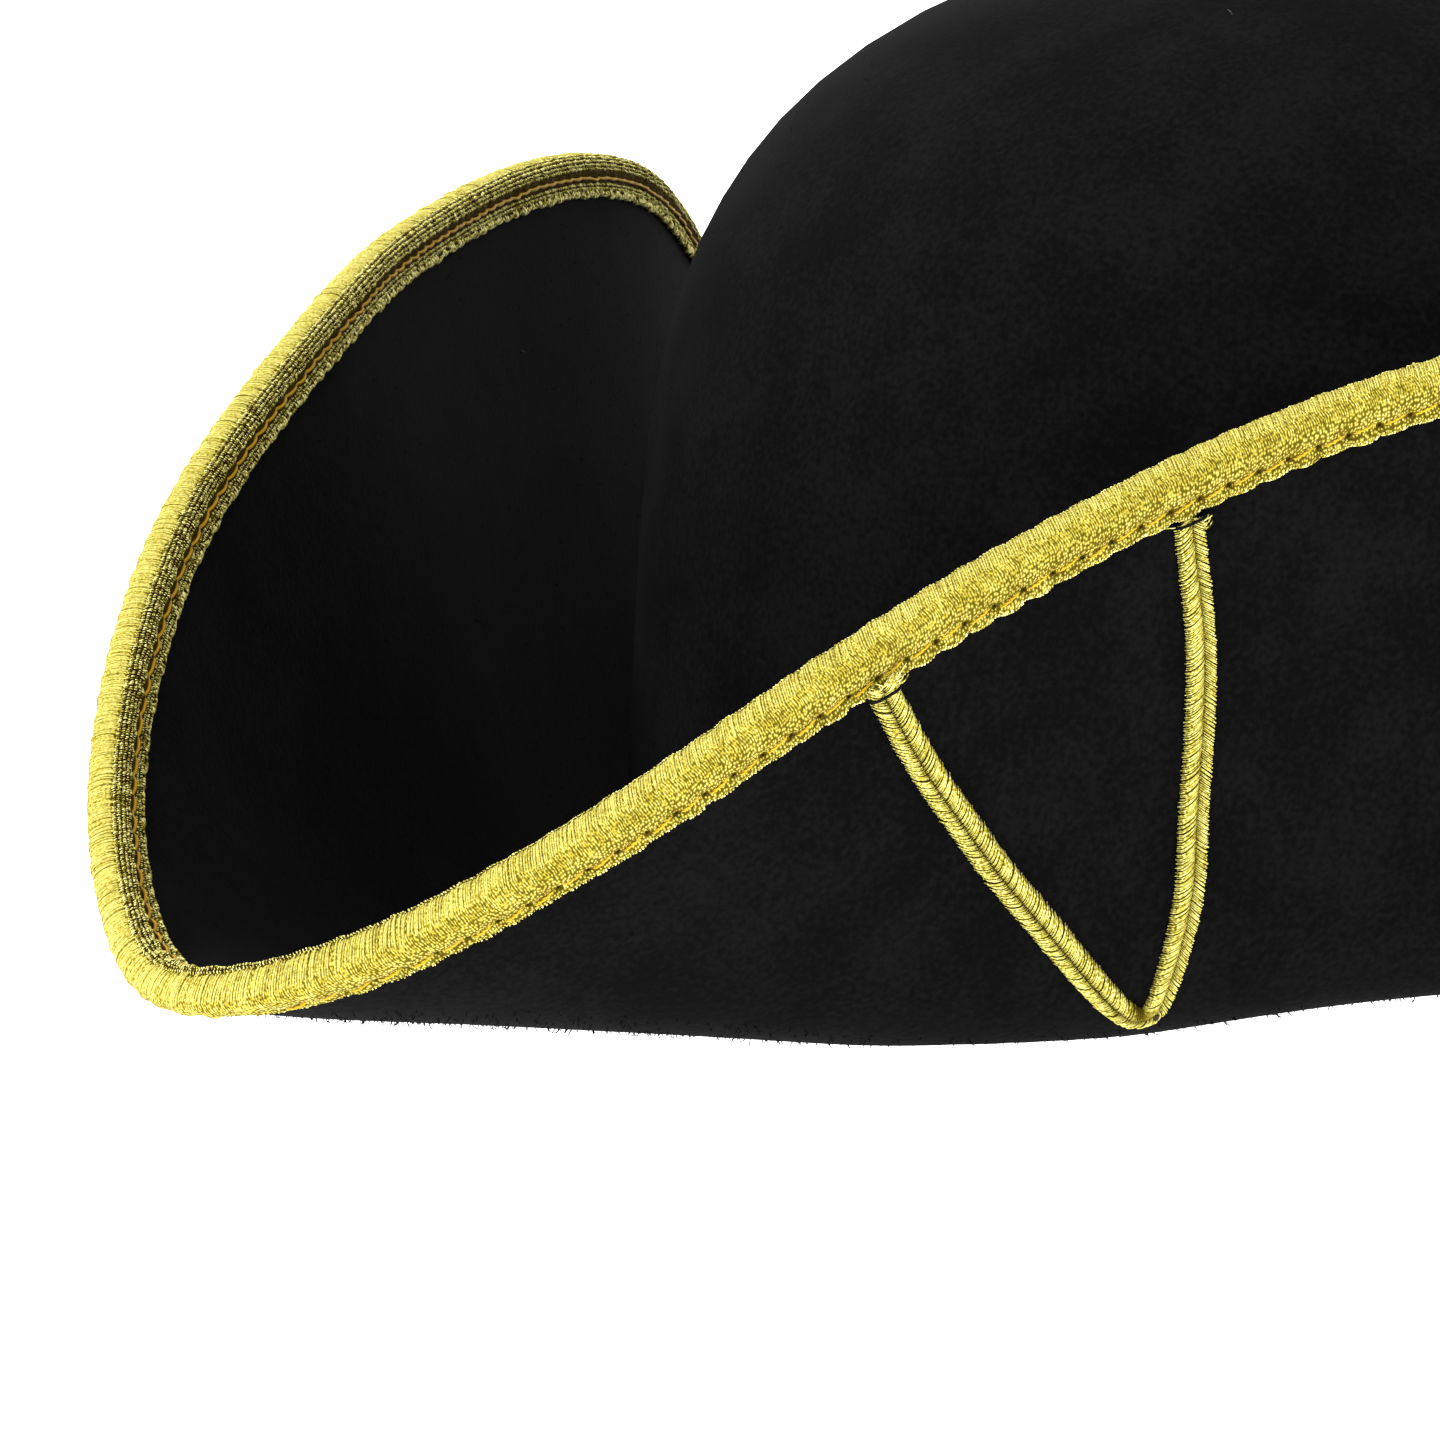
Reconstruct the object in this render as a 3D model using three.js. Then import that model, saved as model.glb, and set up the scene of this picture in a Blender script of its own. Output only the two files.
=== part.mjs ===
// A tricorn hat. One felt hood makes the domed crown and the brim, and the brim is turned up into three
// flaps that meet in three spouted points. A metallic braid is folded over the brim's whole edge, and six
// V-shaped loops of flat soutache braid are sewn to the flaps' outer faces, two on each flap.
// Millimetres, +Z up, the front point towards -Y. The hat stands on the felt folds under its flaps.
import * as THREE from "three";

// Felt hood
const FELT = 2.2; // thickness of the felt
const HEAD_WIDTH = 170; // head opening, inside, along X
const HEAD_LENGTH = 200; // head opening, inside, along Y
const RIM_RISE = 6; // height of the brim's root above the flaps' setting-out level
const CROWN_HEIGHT = 106; // from the brim's root to the crown's top
const CROWN_TAPER = 0.05; // share by which the crown's side leans in over its height
const CROWN_SQUARENESS = 4.8; // exponent of the dome: larger keeps the side straight for longer
const ROOT_BEND = 4; // radius of the bend from the crown's side into the brim
const BRIM_WIDTH = 110; // from the ring that the flaps are set out from to the edge at a point
const FLAP_HEIGHT = 73; // rise of a flap's edge at its middle
const FOLD_TIGHTNESS = 0.924; // 0 is a wide curve and 1 a sharp crease where the brim turns up
const SEAT_FLAT = 0.7; // how far the soft folds are pressed flat where the hat stands on them

// Edge binding
const BINDING_LEG = 3.8; // width of the braid on each face of the brim, from the felt's cut edge
const BINDING_THICKNESS = 0.9;
const BINDING_FOLD = 1.2; // thickness of the braid where it is folded over the edge
const SEAM_GAP = 0.3; // clearance between sewn pieces

// Soutache loops
const LOOP_WIDTH = 2.9;
const LOOP_THICKNESS = 1.3;
const LOOP_TURN_RADIUS = 2.5; // of the braid's centre line at the foot of the V
const LOOP_END_GAP = 0.5; // from the braid's cut end to the binding's lip

// The brim from the middle of a flap to a point, in rows evenly spaced along the half side.
// Reaches are shares of BRIM_WIDTH out from the setting-out ring, and rises are shares of FLAP_HEIGHT.
// The edge is the brim's outline, and the fold is the corner that the brim turns up in.
const BRIM_ROWS = [
  { edgeReach: 0.22, edgeRise: 1.05, foldReach: 0.095, foldRise: 0.025 },
  { edgeReach: 0.267, edgeRise: 0.986, foldReach: 0.121, foldRise: 0.034 },
  { edgeReach: 0.379, edgeRise: 0.884, foldReach: 0.251, foldRise: -0.005 },
  { edgeReach: 0.622, edgeRise: 0.655, foldReach: 0.428, foldRise: -0.1 },
  { edgeReach: 0.813, edgeRise: 0.339, foldReach: 0.579, foldRise: -0.041 },
  { edgeReach: 0.923, edgeRise: 0.157, foldReach: 0.709, foldRise: 0.024 },
  { edgeReach: 1.0, edgeRise: 0.1, foldReach: 0.823, foldRise: 0.065 },
];

// The left and right flaps stand fuller and more upright over their rear halves, on the same fold.
const REAR_EDGE = [
  { edgeReach: 0.22, edgeRise: 1.05 },
  { edgeReach: 0.255, edgeRise: 1.1 },
  { edgeReach: 0.35, edgeRise: 1.09 },
  { edgeReach: 0.545, edgeRise: 0.95 },
  { edgeReach: 0.775, edgeRise: 0.56 },
  { edgeReach: 0.923, edgeRise: 0.2 },
  { edgeReach: 1.0, edgeRise: 0.1 },
];

// One arm of a loop after the other, from the outer top end round the foot to the inner top end.
// along is a share of the half side, from the flap's middle to the point. drop is a share of the way down
// the flap's face, from the braid's cut end at the binding to the lowest line.
const OUTER_ARM = [
  { along: 0.537, drop: 0.0 },
  { along: 0.514, drop: 0.31 },
  { along: 0.49, drop: 0.53 },
  { along: 0.468, drop: 0.71 },
];
const FOOT = { along: 0.449, drop: 0.813 };
const INNER_ARM = [
  { along: 0.429, drop: 0.71 },
  { along: 0.416, drop: 0.61 },
  { along: 0.406, drop: 0.46 },
  { along: 0.397, drop: 0.3 },
  { along: 0.394, drop: 0.17 },
  { along: 0.396, drop: 0.0 },
];

// Facets
const HALF_SIDE_STEPS = 13;
const CROWN_STEPS = 8;
const ROOT_STEPS = 2;
const BRIM_STEPS = 10;
const LOOP_STEPS = 28;

const FLAP_NAMES = ["left", "back", "right"];
const FLAPS = FLAP_NAMES.length;
const HALF_ROWS = BRIM_ROWS.length - 1;
const HALF_SIDE_ANGLE = Math.PI / FLAPS;
const FIRST_FLAP_ANGLE = -Math.PI / 6; // the flap between the front point and the +X point

// The crown's oval is measured to the middle of the felt, and the root oval adds the bend at its foot.
const WALL_X = HEAD_WIDTH / 2 + FELT / 2;
const WALL_Y = HEAD_LENGTH / 2 + FELT / 2;
const ROOT_X = WALL_X + ROOT_BEND;
const ROOT_Y = WALL_Y + ROOT_BEND;
// The oval sits forward of the hat's centre, so that it comes equally close to all three flaps.
const FRONT_REACH = Math.hypot(ROOT_X * Math.cos(Math.PI / 6), ROOT_Y * Math.sin(Math.PI / 6));
const CROWN_SHIFT = (ROOT_Y - FRONT_REACH) / 1.5;
const RING = ROOT_Y - CROWN_SHIFT;

// A row by its number round the hat: 0 at the left flap's middle, and six rows to each half side.
function brimRow(number) {
  const flap = Math.round(number / (2 * HALF_ROWS));
  const offset = number - 2 * HALF_ROWS * flap;
  const name = FLAP_NAMES[(flap + FLAPS) % FLAPS];
  const rear = (name === "left" && offset > 0) || (name === "right" && offset < 0);
  const row = BRIM_ROWS[Math.abs(offset)];
  return rear ? { ...row, ...REAR_EDGE[Math.abs(offset)] } : row;
}

// The row number of an angle, which runs evenly along each flat side of the triangle.
function rowNumber(angle) {
  const turn = (angle - FIRST_FLAP_ANGLE) / (2 * HALF_SIDE_ANGLE);
  const flap = Math.round(turn);
  const offset = (turn - flap) * 2 * HALF_SIDE_ANGLE;
  return HALF_ROWS * (2 * flap + Math.tan(offset) / Math.tan(HALF_SIDE_ANGLE));
}

// A smooth curve through a column of rows: a uniform cubic B-spline that runs on round the hat.
function column(name, number) {
  const i = Math.floor(number);
  const f = number - i;
  const at = (k) => brimRow(k)[name];
  return (
    (at(i - 1) * (1 - f) ** 3 +
      at(i) * (3 * f ** 3 - 6 * f ** 2 + 4) +
      at(i + 1) * (-3 * f ** 3 + 3 * f ** 2 + 3 * f + 1) +
      at(i + 2) * f ** 3) /
    6
  );
}

function angleOn(flap, share, side) {
  const offset = Math.atan(share * Math.tan(HALF_SIDE_ANGLE));
  return FIRST_FLAP_ANGLE + flap * 2 * HALF_SIDE_ANGLE + side * offset;
}

// Distance from the hat's centre to an oval set forward by CROWN_SHIFT, along a ray at an angle.
function ovalReach(semiX, semiY, angle) {
  const c = Math.cos(angle) / semiX;
  const s = Math.sin(angle) / semiY;
  const o = CROWN_SHIFT / semiY;
  const a = c * c + s * s;
  return (-s * o + Math.sqrt(s * s * o * o - a * (o * o - 1))) / a;
}

// The middle of the felt at an angle. part is "crown", "root" or "brim", and share runs from the
// crown's top to its foot, round the bend at the root, or from the root to the brim's edge.
function feltMiddle(angle, part, share) {
  const ray = new THREE.Vector2(Math.cos(angle), Math.sin(angle));
  const wall = ovalReach(WALL_X, WALL_Y, angle);
  const row = rowNumber(angle);
  const reach = (name) => RING + BRIM_WIDTH * column(name, row);
  const rise = (name) => FLAP_HEIGHT * column(name, row);
  const root = new THREE.Vector2(ovalReach(ROOT_X, ROOT_Y, angle), RIM_RISE);
  const fold = new THREE.Vector2(reach("foldReach"), rise("foldRise"));
  // The root bend's corner lies on the crown's side, in line with the brim where it leaves the root.
  const slope = (fold.y - root.y) / (fold.x - root.x);
  const corner = new THREE.Vector2(wall, root.y + slope * (wall - root.x));
  const foot = new THREE.Vector2(wall, corner.y + ROOT_BEND);
  if (part === "crown") {
    // The dome: sine and cosine of one angle, with the sine bent so that the side stays straight.
    const phase = (Math.PI / 2) * (1 - share) ** 2.2;
    const up = Math.sin(phase) ** (2 / CROWN_SQUARENESS);
    const size = (1 - CROWN_TAPER * up) * Math.cos(phase);
    const top = RIM_RISE + CROWN_HEIGHT - FELT / 2;
    return new THREE.Vector3(
      ray.x * wall * size,
      (ray.y * wall + CROWN_SHIFT) * size - CROWN_SHIFT,
      foot.y + (top - foot.y) * up,
    );
  }
  const at =
    part === "root"
      ? new THREE.QuadraticBezierCurve(foot, corner, root).getPoint(share)
      : brimSection(root, fold, new THREE.Vector2(reach("edgeReach"), rise("edgeRise"))).getPoint(share);
  return new THREE.Vector3(ray.x * at.x, ray.y * at.x, at.y);
}

// From the root towards the fold's corner, and on up the flap to the edge.
function brimSection(root, fold, edge) {
  return new THREE.CubicBezierCurve(
    root,
    root.clone().lerp(fold, FOLD_TIGHTNESS),
    edge.clone().lerp(fold, FOLD_TIGHTNESS),
    edge,
  );
}

// Point, upper-side normal and the two surface directions at a place on the felt.
function feltPlace(angle, part, share) {
  const turn = 1e-4;
  const step = share > 0.5 ? -1e-4 : 1e-4;
  const point = feltMiddle(angle, part, share);
  const around = feltMiddle(angle + turn, part, share)
    .sub(feltMiddle(angle - turn, part, share))
    .divideScalar(2 * turn);
  const outward = feltMiddle(angle, part, share + step).sub(point).divideScalar(step);
  const normal = new THREE.Vector3().crossVectors(outward, around).normalize();
  if (part === "crown" && share === 0) normal.set(0, 0, 1);
  return { point, normal, around, outward };
}

// The brim share at which a given width of binding ends, measured square to the edge.
function lipShare(angle, width) {
  const { around, outward } = feltPlace(angle, "brim", 1);
  const along = around.clone().normalize();
  const square = outward.clone().addScaledVector(along, -outward.dot(along)).length();
  return 1 - width / square;
}

// The hat stands at z = 0 on the lowest line of its folds, pressed flat by SEAT_FLAT.
function lowestPlace(angle) {
  const tryAt = (share) => {
    const { point, normal } = feltPlace(angle, "brim", share);
    return { share, z: point.z - (FELT / 2) * normal.z };
  };
  let step = 1 / 40;
  const tries = Array.from({ length: 41 }, (_, k) => tryAt(k * step));
  let low = tries.reduce((best, place) => (place.z < best.z ? place : best));
  for (; step > 1e-5; step /= 2) {
    for (const share of [low.share - step, low.share + step]) {
      const place = tryAt(THREE.MathUtils.clamp(share, 0, 1));
      if (place.z < low.z) low = place;
    }
  }
  return low;
}

const ANGLES = [];
for (let flap = 0; flap < FLAPS; flap++) {
  for (let k = -HALF_SIDE_STEPS + 1; k <= HALF_SIDE_STEPS; k++) {
    // Steps shorten towards the points, where the edge turns fastest.
    const even = Math.abs(k) / HALF_SIDE_STEPS;
    const share = (even + Math.sin((even * Math.PI) / 2)) / 2;
    ANGLES.push(angleOn(flap, share, Math.sign(k)));
  }
}
const LIFT = -Math.min(...ANGLES.map((angle) => lowestPlace(angle).z)) - SEAT_FLAT;

function sidePoint(place, distance) {
  const at = place.point.clone().addScaledVector(place.normal, distance);
  at.z += LIFT;
  return at;
}

// A closed solid from rings of points: each ring joined to the next, and either the first ring to the
// last or a fan on a single point at each end. Rings run so that the faces point outwards.
function loftRings(rings, closed) {
  const size = rings[0].length;
  const vertices = rings.flat();
  const faces = [];
  const count = closed ? rings.length : rings.length - 1;
  for (let i = 0; i < count; i++) {
    const a = i * size;
    const b = ((i + 1) % rings.length) * size;
    for (let k = 0; k < size; k++) {
      const n = (k + 1) % size;
      faces.push(a + k, b + n, b + k, a + k, a + n, b + n);
    }
  }
  if (!closed) {
    for (const [ring, flip] of [[0, false], [rings.length - 1, true]]) {
      const middle = rings[ring].reduce((sum, p) => sum.add(p), new THREE.Vector3()).divideScalar(size);
      const centre = vertices.push(middle) - 1;
      for (let k = 0; k < size; k++) {
        const a = ring * size + k;
        const b = ring * size + ((k + 1) % size);
        faces.push(...(flip ? [centre, a, b] : [centre, b, a]));
      }
    }
  }
  const geometry = new THREE.BufferGeometry().setFromPoints(vertices);
  geometry.setIndex(faces);
  geometry.computeVertexNormals();
  return geometry;
}

// Felt hood: rings from the crown's outer top, down and out over the brim's upper side, round its edge
// and back under the brim to the crown's inner top.
function hoodPlaces() {
  const stations = [];
  for (let k = 1; k <= CROWN_STEPS; k++) stations.push(["crown", k / CROWN_STEPS]);
  for (let k = 1; k <= ROOT_STEPS; k++) stations.push(["root", k / ROOT_STEPS]);
  for (let k = 1; k <= BRIM_STEPS; k++) stations.push(["brim", k / BRIM_STEPS]);
  stations.push(["edge", 0.5], ["edge", 1]);
  return stations.map(([part, share]) =>
    ANGLES.map((angle) => {
      const lip = lipShare(angle, BINDING_LEG);
      // The last rows lie under the binding, so that its facets match the felt's.
      if (part === "edge") return feltPlace(angle, "brim", lip + (1 - lip) * share);
      if (part === "brim") return feltPlace(angle, "brim", lip * share);
      return feltPlace(angle, part, share);
    }),
  );
}

function feltHood(places) {
  const upper = places.map((ring) => ring.map((place) => sidePoint(place, FELT / 2)));
  const under = places.map((ring) => ring.map((place) => sidePoint(place, -FELT / 2)));
  // The folds are pressed flat where the hat stands on them.
  under.flat().forEach((p) => (p.z = Math.max(p.z, 0)));
  const top = feltPlace(0, "crown", 0);
  const rings = [...upper, ...under.reverse()];
  const vertices = rings.flat();
  const size = ANGLES.length;
  const faces = [];
  for (let i = 0; i < rings.length - 1; i++) {
    for (let k = 0; k < size; k++) {
      const n = (k + 1) % size;
      const [a, b, c, d] = [i * size + k, i * size + n, (i + 1) * size + n, (i + 1) * size + k];
      // Both sides of the felt are cut along the same diagonal.
      if (i < places.length) faces.push(a, d, c, a, c, b);
      else faces.push(a, d, b, b, d, c);
    }
  }
  const outerTop = vertices.push(sidePoint(top, FELT / 2)) - 1;
  const innerTop = vertices.push(sidePoint(top, -FELT / 2)) - 1;
  const lastRing = (rings.length - 1) * size;
  for (let k = 0; k < size; k++) {
    const n = (k + 1) % size;
    faces.push(outerTop, k, n, innerTop, lastRing + n, lastRing + k);
  }
  const geometry = new THREE.BufferGeometry().setFromPoints(vertices);
  geometry.setIndex(faces);
  geometry.computeVertexNormals();
  return geometry;
}

// Edge binding: a braid folded over the edge, with a leg on each side of the felt.
function edgeBinding(places) {
  const legRows = places.slice(-3); // lip, middle of the leg, edge
  const near = FELT / 2 + SEAM_GAP;
  const far = near + BINDING_THICKNESS;
  const fold = SEAM_GAP + BINDING_FOLD;
  const rings = ANGLES.map((_, k) => {
    const [lip, middle, edge] = legRows.map((ring) => ring[k]);
    const beyond = new THREE.Vector3().crossVectors(edge.around, edge.normal).normalize();
    const cap = (across, out) => sidePoint(edge, across).addScaledVector(beyond, out);
    return [
      sidePoint(lip, far),
      sidePoint(middle, far),
      cap(far, 0),
      cap(far * 0.75, fold * 0.72),
      cap(0, fold),
      cap(-far * 0.75, fold * 0.72),
      cap(-far, 0),
      sidePoint(middle, -far),
      sidePoint(lip, -far),
      sidePoint(lip, -near),
      sidePoint(middle, -near),
      cap(-near, SEAM_GAP),
      cap(near, SEAM_GAP),
      sidePoint(middle, near),
      sidePoint(lip, near),
    ];
  });
  return loftRings(rings, true);
}

// A place on a flap's outer face, from the share along the half side and the share of the drop, which is
// measured along the felt from the braid's cut end to the lowest line.
function onFlap(flap, side, along, drop) {
  const angle = angleOn(flap, along, side);
  const from = lipShare(angle, BINDING_LEG + LOOP_END_GAP);
  const to = lowestPlace(angle).share;
  const shares = Array.from({ length: 41 }, (_, k) => from + ((to - from) * k) / 40);
  const steps = shares.map((share, k) =>
    feltMiddle(angle, "brim", share).distanceTo(feltMiddle(angle, "brim", shares[Math.max(k - 1, 0)])),
  );
  let left = drop * steps.reduce((sum, step) => sum + step, 0);
  let k = 1;
  while (k < 40 && left > steps[k]) left -= steps[k++];
  return feltPlace(angle, "brim", shares[k - 1] + (shares[k] - shares[k - 1]) * (left / steps[k]));
}

// The middle of the braid, as shares along the flap and down it.
function loopPath(flap, side) {
  // The curve is drawn in millimetres, so both shares are measured at the foot first.
  const reach = 0.02;
  const at = (along, drop) => loopLevel(onFlap(flap, side, along, drop));
  const here = at(FOOT.along, FOOT.drop);
  const outward = at(FOOT.along + reach, FOOT.drop).sub(here).divideScalar(reach);
  const upward = at(FOOT.along, FOOT.drop - reach).sub(here).divideScalar(reach);
  // The two directions aren't square to each other, and the lean is taken out of the round turn.
  const lean = upward.dot(outward) / outward.lengthSq();
  const perAlong = outward.length();
  const perDrop = upward.addScaledVector(outward, -lean).length();
  const toPlane = ({ along, drop }) => new THREE.Vector3(along * perAlong, drop * perDrop, 0);
  const turn = [150, 120, 90, 60, 30].map((degrees) => {
    const angle = THREE.MathUtils.degToRad(degrees);
    const down = (LOOP_TURN_RADIUS * Math.sin(angle)) / perDrop;
    const along = (LOOP_TURN_RADIUS * Math.cos(angle)) / perAlong;
    return toPlane({ along: FOOT.along - along + lean * down, drop: FOOT.drop + down });
  });
  const points = [...OUTER_ARM.map(toPlane), ...turn, ...INNER_ARM.map(toPlane)];
  return new THREE.CatmullRomCurve3(points, false, "centripetal")
    .getPoints(LOOP_STEPS)
    .map((p) => ({ along: p.x / perAlong, drop: p.y / perDrop }));
}

// The middle of a braid that lies on a flap's outer face.
function loopLevel(place) {
  return sidePoint(place, -FELT / 2 - SEAM_GAP - LOOP_THICKNESS / 2);
}

// Soutache loop: a flat braid with a groove down its middle, lying on the flap's facets.
const LOOP_SECTION = [
  [-1, 0],
  [-0.6, 1],
  [0, 0.55],
  [0.6, 1],
  [1, 0],
  [0.6, -1],
  [-0.6, -1],
];

function soutacheLoop(flap, side, hood) {
  const places = loopPath(flap, side).map(({ along, drop }) => onFlap(flap, side, along, drop));
  const level = places.map(loopLevel);
  const rings = places.map((place, k) => {
    const tangent = level[Math.min(k + 1, LOOP_STEPS)].clone().sub(level[Math.max(k - 1, 0)]);
    const away = sidePoint(place, -4 * FELT);
    const across = new THREE.Vector3().crossVectors(place.normal, tangent).normalize();
    // The braid rests on the highest facet under its width and half a step to either side.
    const drops = [-0.25, -0.12, 0, 0.12, 0.25].flatMap((y) =>
      [-0.8, -0.4, 0, 0.4, 0.8].map((x) => {
        const from = away.clone().addScaledVector(tangent, y);
        from.addScaledVector(across, (x * LOOP_WIDTH) / 2);
        return new THREE.Raycaster(from, place.normal).intersectObject(hood)[0].distance;
      }),
    );
    const depth = Math.min(...drops) - SEAM_GAP - LOOP_THICKNESS / 2;
    const middle = away.clone().addScaledVector(place.normal, depth);
    if (k === 0 || k === LOOP_STEPS) {
      // The braid is cut along the binding's lip.
      const lip = place.around.clone();
      across.copy(lip.divideScalar(lip.dot(across)));
    }
    return LOOP_SECTION.map(([x, y]) =>
      middle
        .clone()
        .addScaledVector(across, (x * LOOP_WIDTH) / 2)
        .addScaledVector(place.normal, (y * LOOP_THICKNESS) / -2),
    );
  });
  // The foot of the V is pressed flat with the felt that it lies on.
  rings.flat().forEach((p) => (p.z = Math.max(p.z, 0)));
  return loftRings(rings, false);
}

const FELT_FINISH = new THREE.MeshStandardMaterial({ color: 0x0b0b0c, roughness: 0.95, metalness: 0 });
const BINDING_FINISH = new THREE.MeshStandardMaterial({ color: 0xc9b13c, roughness: 0.42, metalness: 0.6 });
const LOOP_FINISH = new THREE.MeshStandardMaterial({ color: 0xcdb63a, roughness: 0.4, metalness: 0.6 });

const hat = new THREE.Group();
function add(name, geometry, material) {
  const mesh = new THREE.Mesh(geometry, material);
  mesh.name = name;
  hat.add(mesh);
  return mesh;
}

const places = hoodPlaces();
const hood = add("felt_hood", feltHood(places), FELT_FINISH);
add("edge_binding", edgeBinding(places), BINDING_FINISH);
FLAP_NAMES.forEach((name, flap) => {
  add(`soutache_loop_${name}_1`, soutacheLoop(flap, -1, hood), LOOP_FINISH);
  add(`soutache_loop_${name}_2`, soutacheLoop(flap, 1, hood), LOOP_FINISH);
});

// The origin is the middle of the hat's outline, on the surface that it stands on.
const outline = new THREE.Box3().setFromObject(hat, true).getCenter(new THREE.Vector3());
hat.position.set(-outline.x, -outline.y, 0);

export default hat;
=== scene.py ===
# %% [markdown]
# # A tricorn hat in black felt with a gold braid
#
# The hat is one piece of blocked wool felt with its brim turned up on three sides. A folded metallic braid
# binds the edge, and narrow soutache braids lie in a V on each end of the flaps. The CAD solids have these
# shapes already. The script makes each again as a fine mesh from the same formulas, because yarns and
# stitches can then be laid on a surface whose every point and direction is known.
#
# All lengths are in millimetres until a mesh is made. They are measured from the middle of the ring that the
# three flaps are set out from, and `RING_Y` carries them into the frame.

import bpy
import numpy as np
from mathutils import Matrix, Vector


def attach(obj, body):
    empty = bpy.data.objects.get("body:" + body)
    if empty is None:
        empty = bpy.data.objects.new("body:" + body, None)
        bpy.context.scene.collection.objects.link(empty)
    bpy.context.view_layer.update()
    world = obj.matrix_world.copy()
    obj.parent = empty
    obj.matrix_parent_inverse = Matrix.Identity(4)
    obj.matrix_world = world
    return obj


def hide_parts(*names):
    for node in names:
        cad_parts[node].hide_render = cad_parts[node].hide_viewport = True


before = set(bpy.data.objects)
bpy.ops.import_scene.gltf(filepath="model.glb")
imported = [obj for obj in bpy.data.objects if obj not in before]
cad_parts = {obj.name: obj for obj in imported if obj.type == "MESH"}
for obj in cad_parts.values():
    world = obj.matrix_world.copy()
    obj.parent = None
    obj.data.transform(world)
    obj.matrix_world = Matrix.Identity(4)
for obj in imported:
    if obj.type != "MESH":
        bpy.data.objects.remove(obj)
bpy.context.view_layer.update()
rng = np.random.default_rng(17)

# %% [markdown]
# ## Sizes
#
# The sizes of the felt are those of the CAD source. The sizes of the braids' yarns and stitches are counted
# in the photograph.

# %% Sizes
FELT = 2.2  # thickness
HEAD_WIDTH = 170.0
HEAD_LENGTH = 200.0
RIM_RISE = 6.0
CROWN_HEIGHT = 106.0
CROWN_TAPER = 0.05
CROWN_SQUARENESS = 4.8
ROOT_BEND = 4.0
BRIM_WIDTH = 110.0
FLAP_HEIGHT = 73.0
FOLD_TIGHTNESS = 0.924
SEAT_FLAT = 0.7  # height of felt that is pressed flat on the floor
RING_Y = 39.69  # from the middle of the hat's outline back to the middle of the ring
FLOOR_GAP = 0.02  # the felt's lowest points stay clear of the floor

BINDING_LEG = 3.8  # the CAD braid's width on each face
LOOP_END_GAP = 0.5  # from the CAD braid's lip to the loops' ends
STITCH_PITCH = 3.35
STITCH_IN = 2.85  # from the felt's edge to the line of stitches outside
INNER_STITCH_IN = 2.1  # the same inside
PUCKER_RISE = 0.24  # of the braid between two stitches
DENT_DEPTH = 0.3  # where the needle went in
FURROW_DEPTH = 0.16  # along the line of stitches
THREAD_RADIUS = 0.19
STRAND_RADIUS = 0.12  # of one of the outer stitches' two strands
RIB_PITCH = 0.26
DOT_PITCH = 0.31
BIGHT_PITCH = 0.34
KNIT_PITCH = 0.36
FOLD_YARN_PITCH = 0.27

LOOP_WIDTH = 2.9
YARN_PITCH = 0.23
TIE_RADIUS = 0.17

NAP_FIBRES = 9000
LOW_NAP_FIBRES = 12000
LINT_FIBRES = 60

# Half a flap in seven rows, from the flap's middle to the point. Reach is a share of BRIM_WIDTH, and rise
# is a share of FLAP_HEIGHT.
EDGE_REACH = (0.22, 0.267, 0.379, 0.622, 0.813, 0.923, 1.0)
EDGE_RISE = (1.05, 0.986, 0.884, 0.655, 0.339, 0.157, 0.1)
REAR_EDGE_REACH = (0.22, 0.255, 0.35, 0.545, 0.775, 0.923, 1.0)
REAR_EDGE_RISE = (1.05, 1.1, 1.09, 0.95, 0.56, 0.2, 0.1)
FOLD_REACH = (0.095, 0.121, 0.251, 0.428, 0.579, 0.709, 0.823)
FOLD_RISE = (0.025, 0.034, -0.005, -0.1, -0.041, 0.024, 0.065)
print("brim", BRIM_WIDTH, "mm wide, head opening", HEAD_WIDTH, "by", HEAD_LENGTH, "mm")

# %% [markdown]
# ## The felt's surface
#
# A tricorn is blocked round and flat, and its brim is then folded up along three lines. It could be sculpted,
# but a formula lets every later piece ask for the felt's point, normal and directions at any place.
#
# Thirty-six rows stand round the brim, twelve to a flap. Four columns give the reach and the rise of the edge
# and of the fold at each row, and a cubic B-spline runs smoothly along them. The rear halves of the two side
# flaps stand higher than their front halves.

# %% Rows round the brim
WALL_X = HEAD_WIDTH / 2 + FELT / 2
WALL_Y = HEAD_LENGTH / 2 + FELT / 2
ROOT_X = WALL_X + ROOT_BEND
ROOT_Y = WALL_Y + ROOT_BEND
FRONT_REACH = np.hypot(ROOT_X * np.cos(np.pi / 6), ROOT_Y * np.sin(np.pi / 6))
CROWN_SHIFT = (ROOT_Y - FRONT_REACH) / 1.5
RING = ROOT_Y - CROWN_SHIFT
HALF_ROWS = 6
ROWS = 6 * HALF_ROWS
HALF_SPAN = np.tan(np.pi / 3)


def round_the_brim(front, rear):
    """One value per row round the brim, from those of a front half and of a rear half of a flap."""
    row = np.arange(ROWS)
    flap = np.round(row / (2 * HALF_ROWS))
    offset = (row - 2 * HALF_ROWS * flap).astype(int)
    at_rear = ((flap % 3 == 0) & (offset > 0)) | ((flap % 3 == 2) & (offset < 0))
    return np.where(at_rear, np.array(rear)[abs(offset)], np.array(front)[abs(offset)])


EDGE_REACH_RING = round_the_brim(EDGE_REACH, REAR_EDGE_REACH)
EDGE_RISE_RING = round_the_brim(EDGE_RISE, REAR_EDGE_RISE)
FOLD_REACH_RING = round_the_brim(FOLD_REACH, FOLD_REACH)
FOLD_RISE_RING = round_the_brim(FOLD_RISE, FOLD_RISE)


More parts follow.
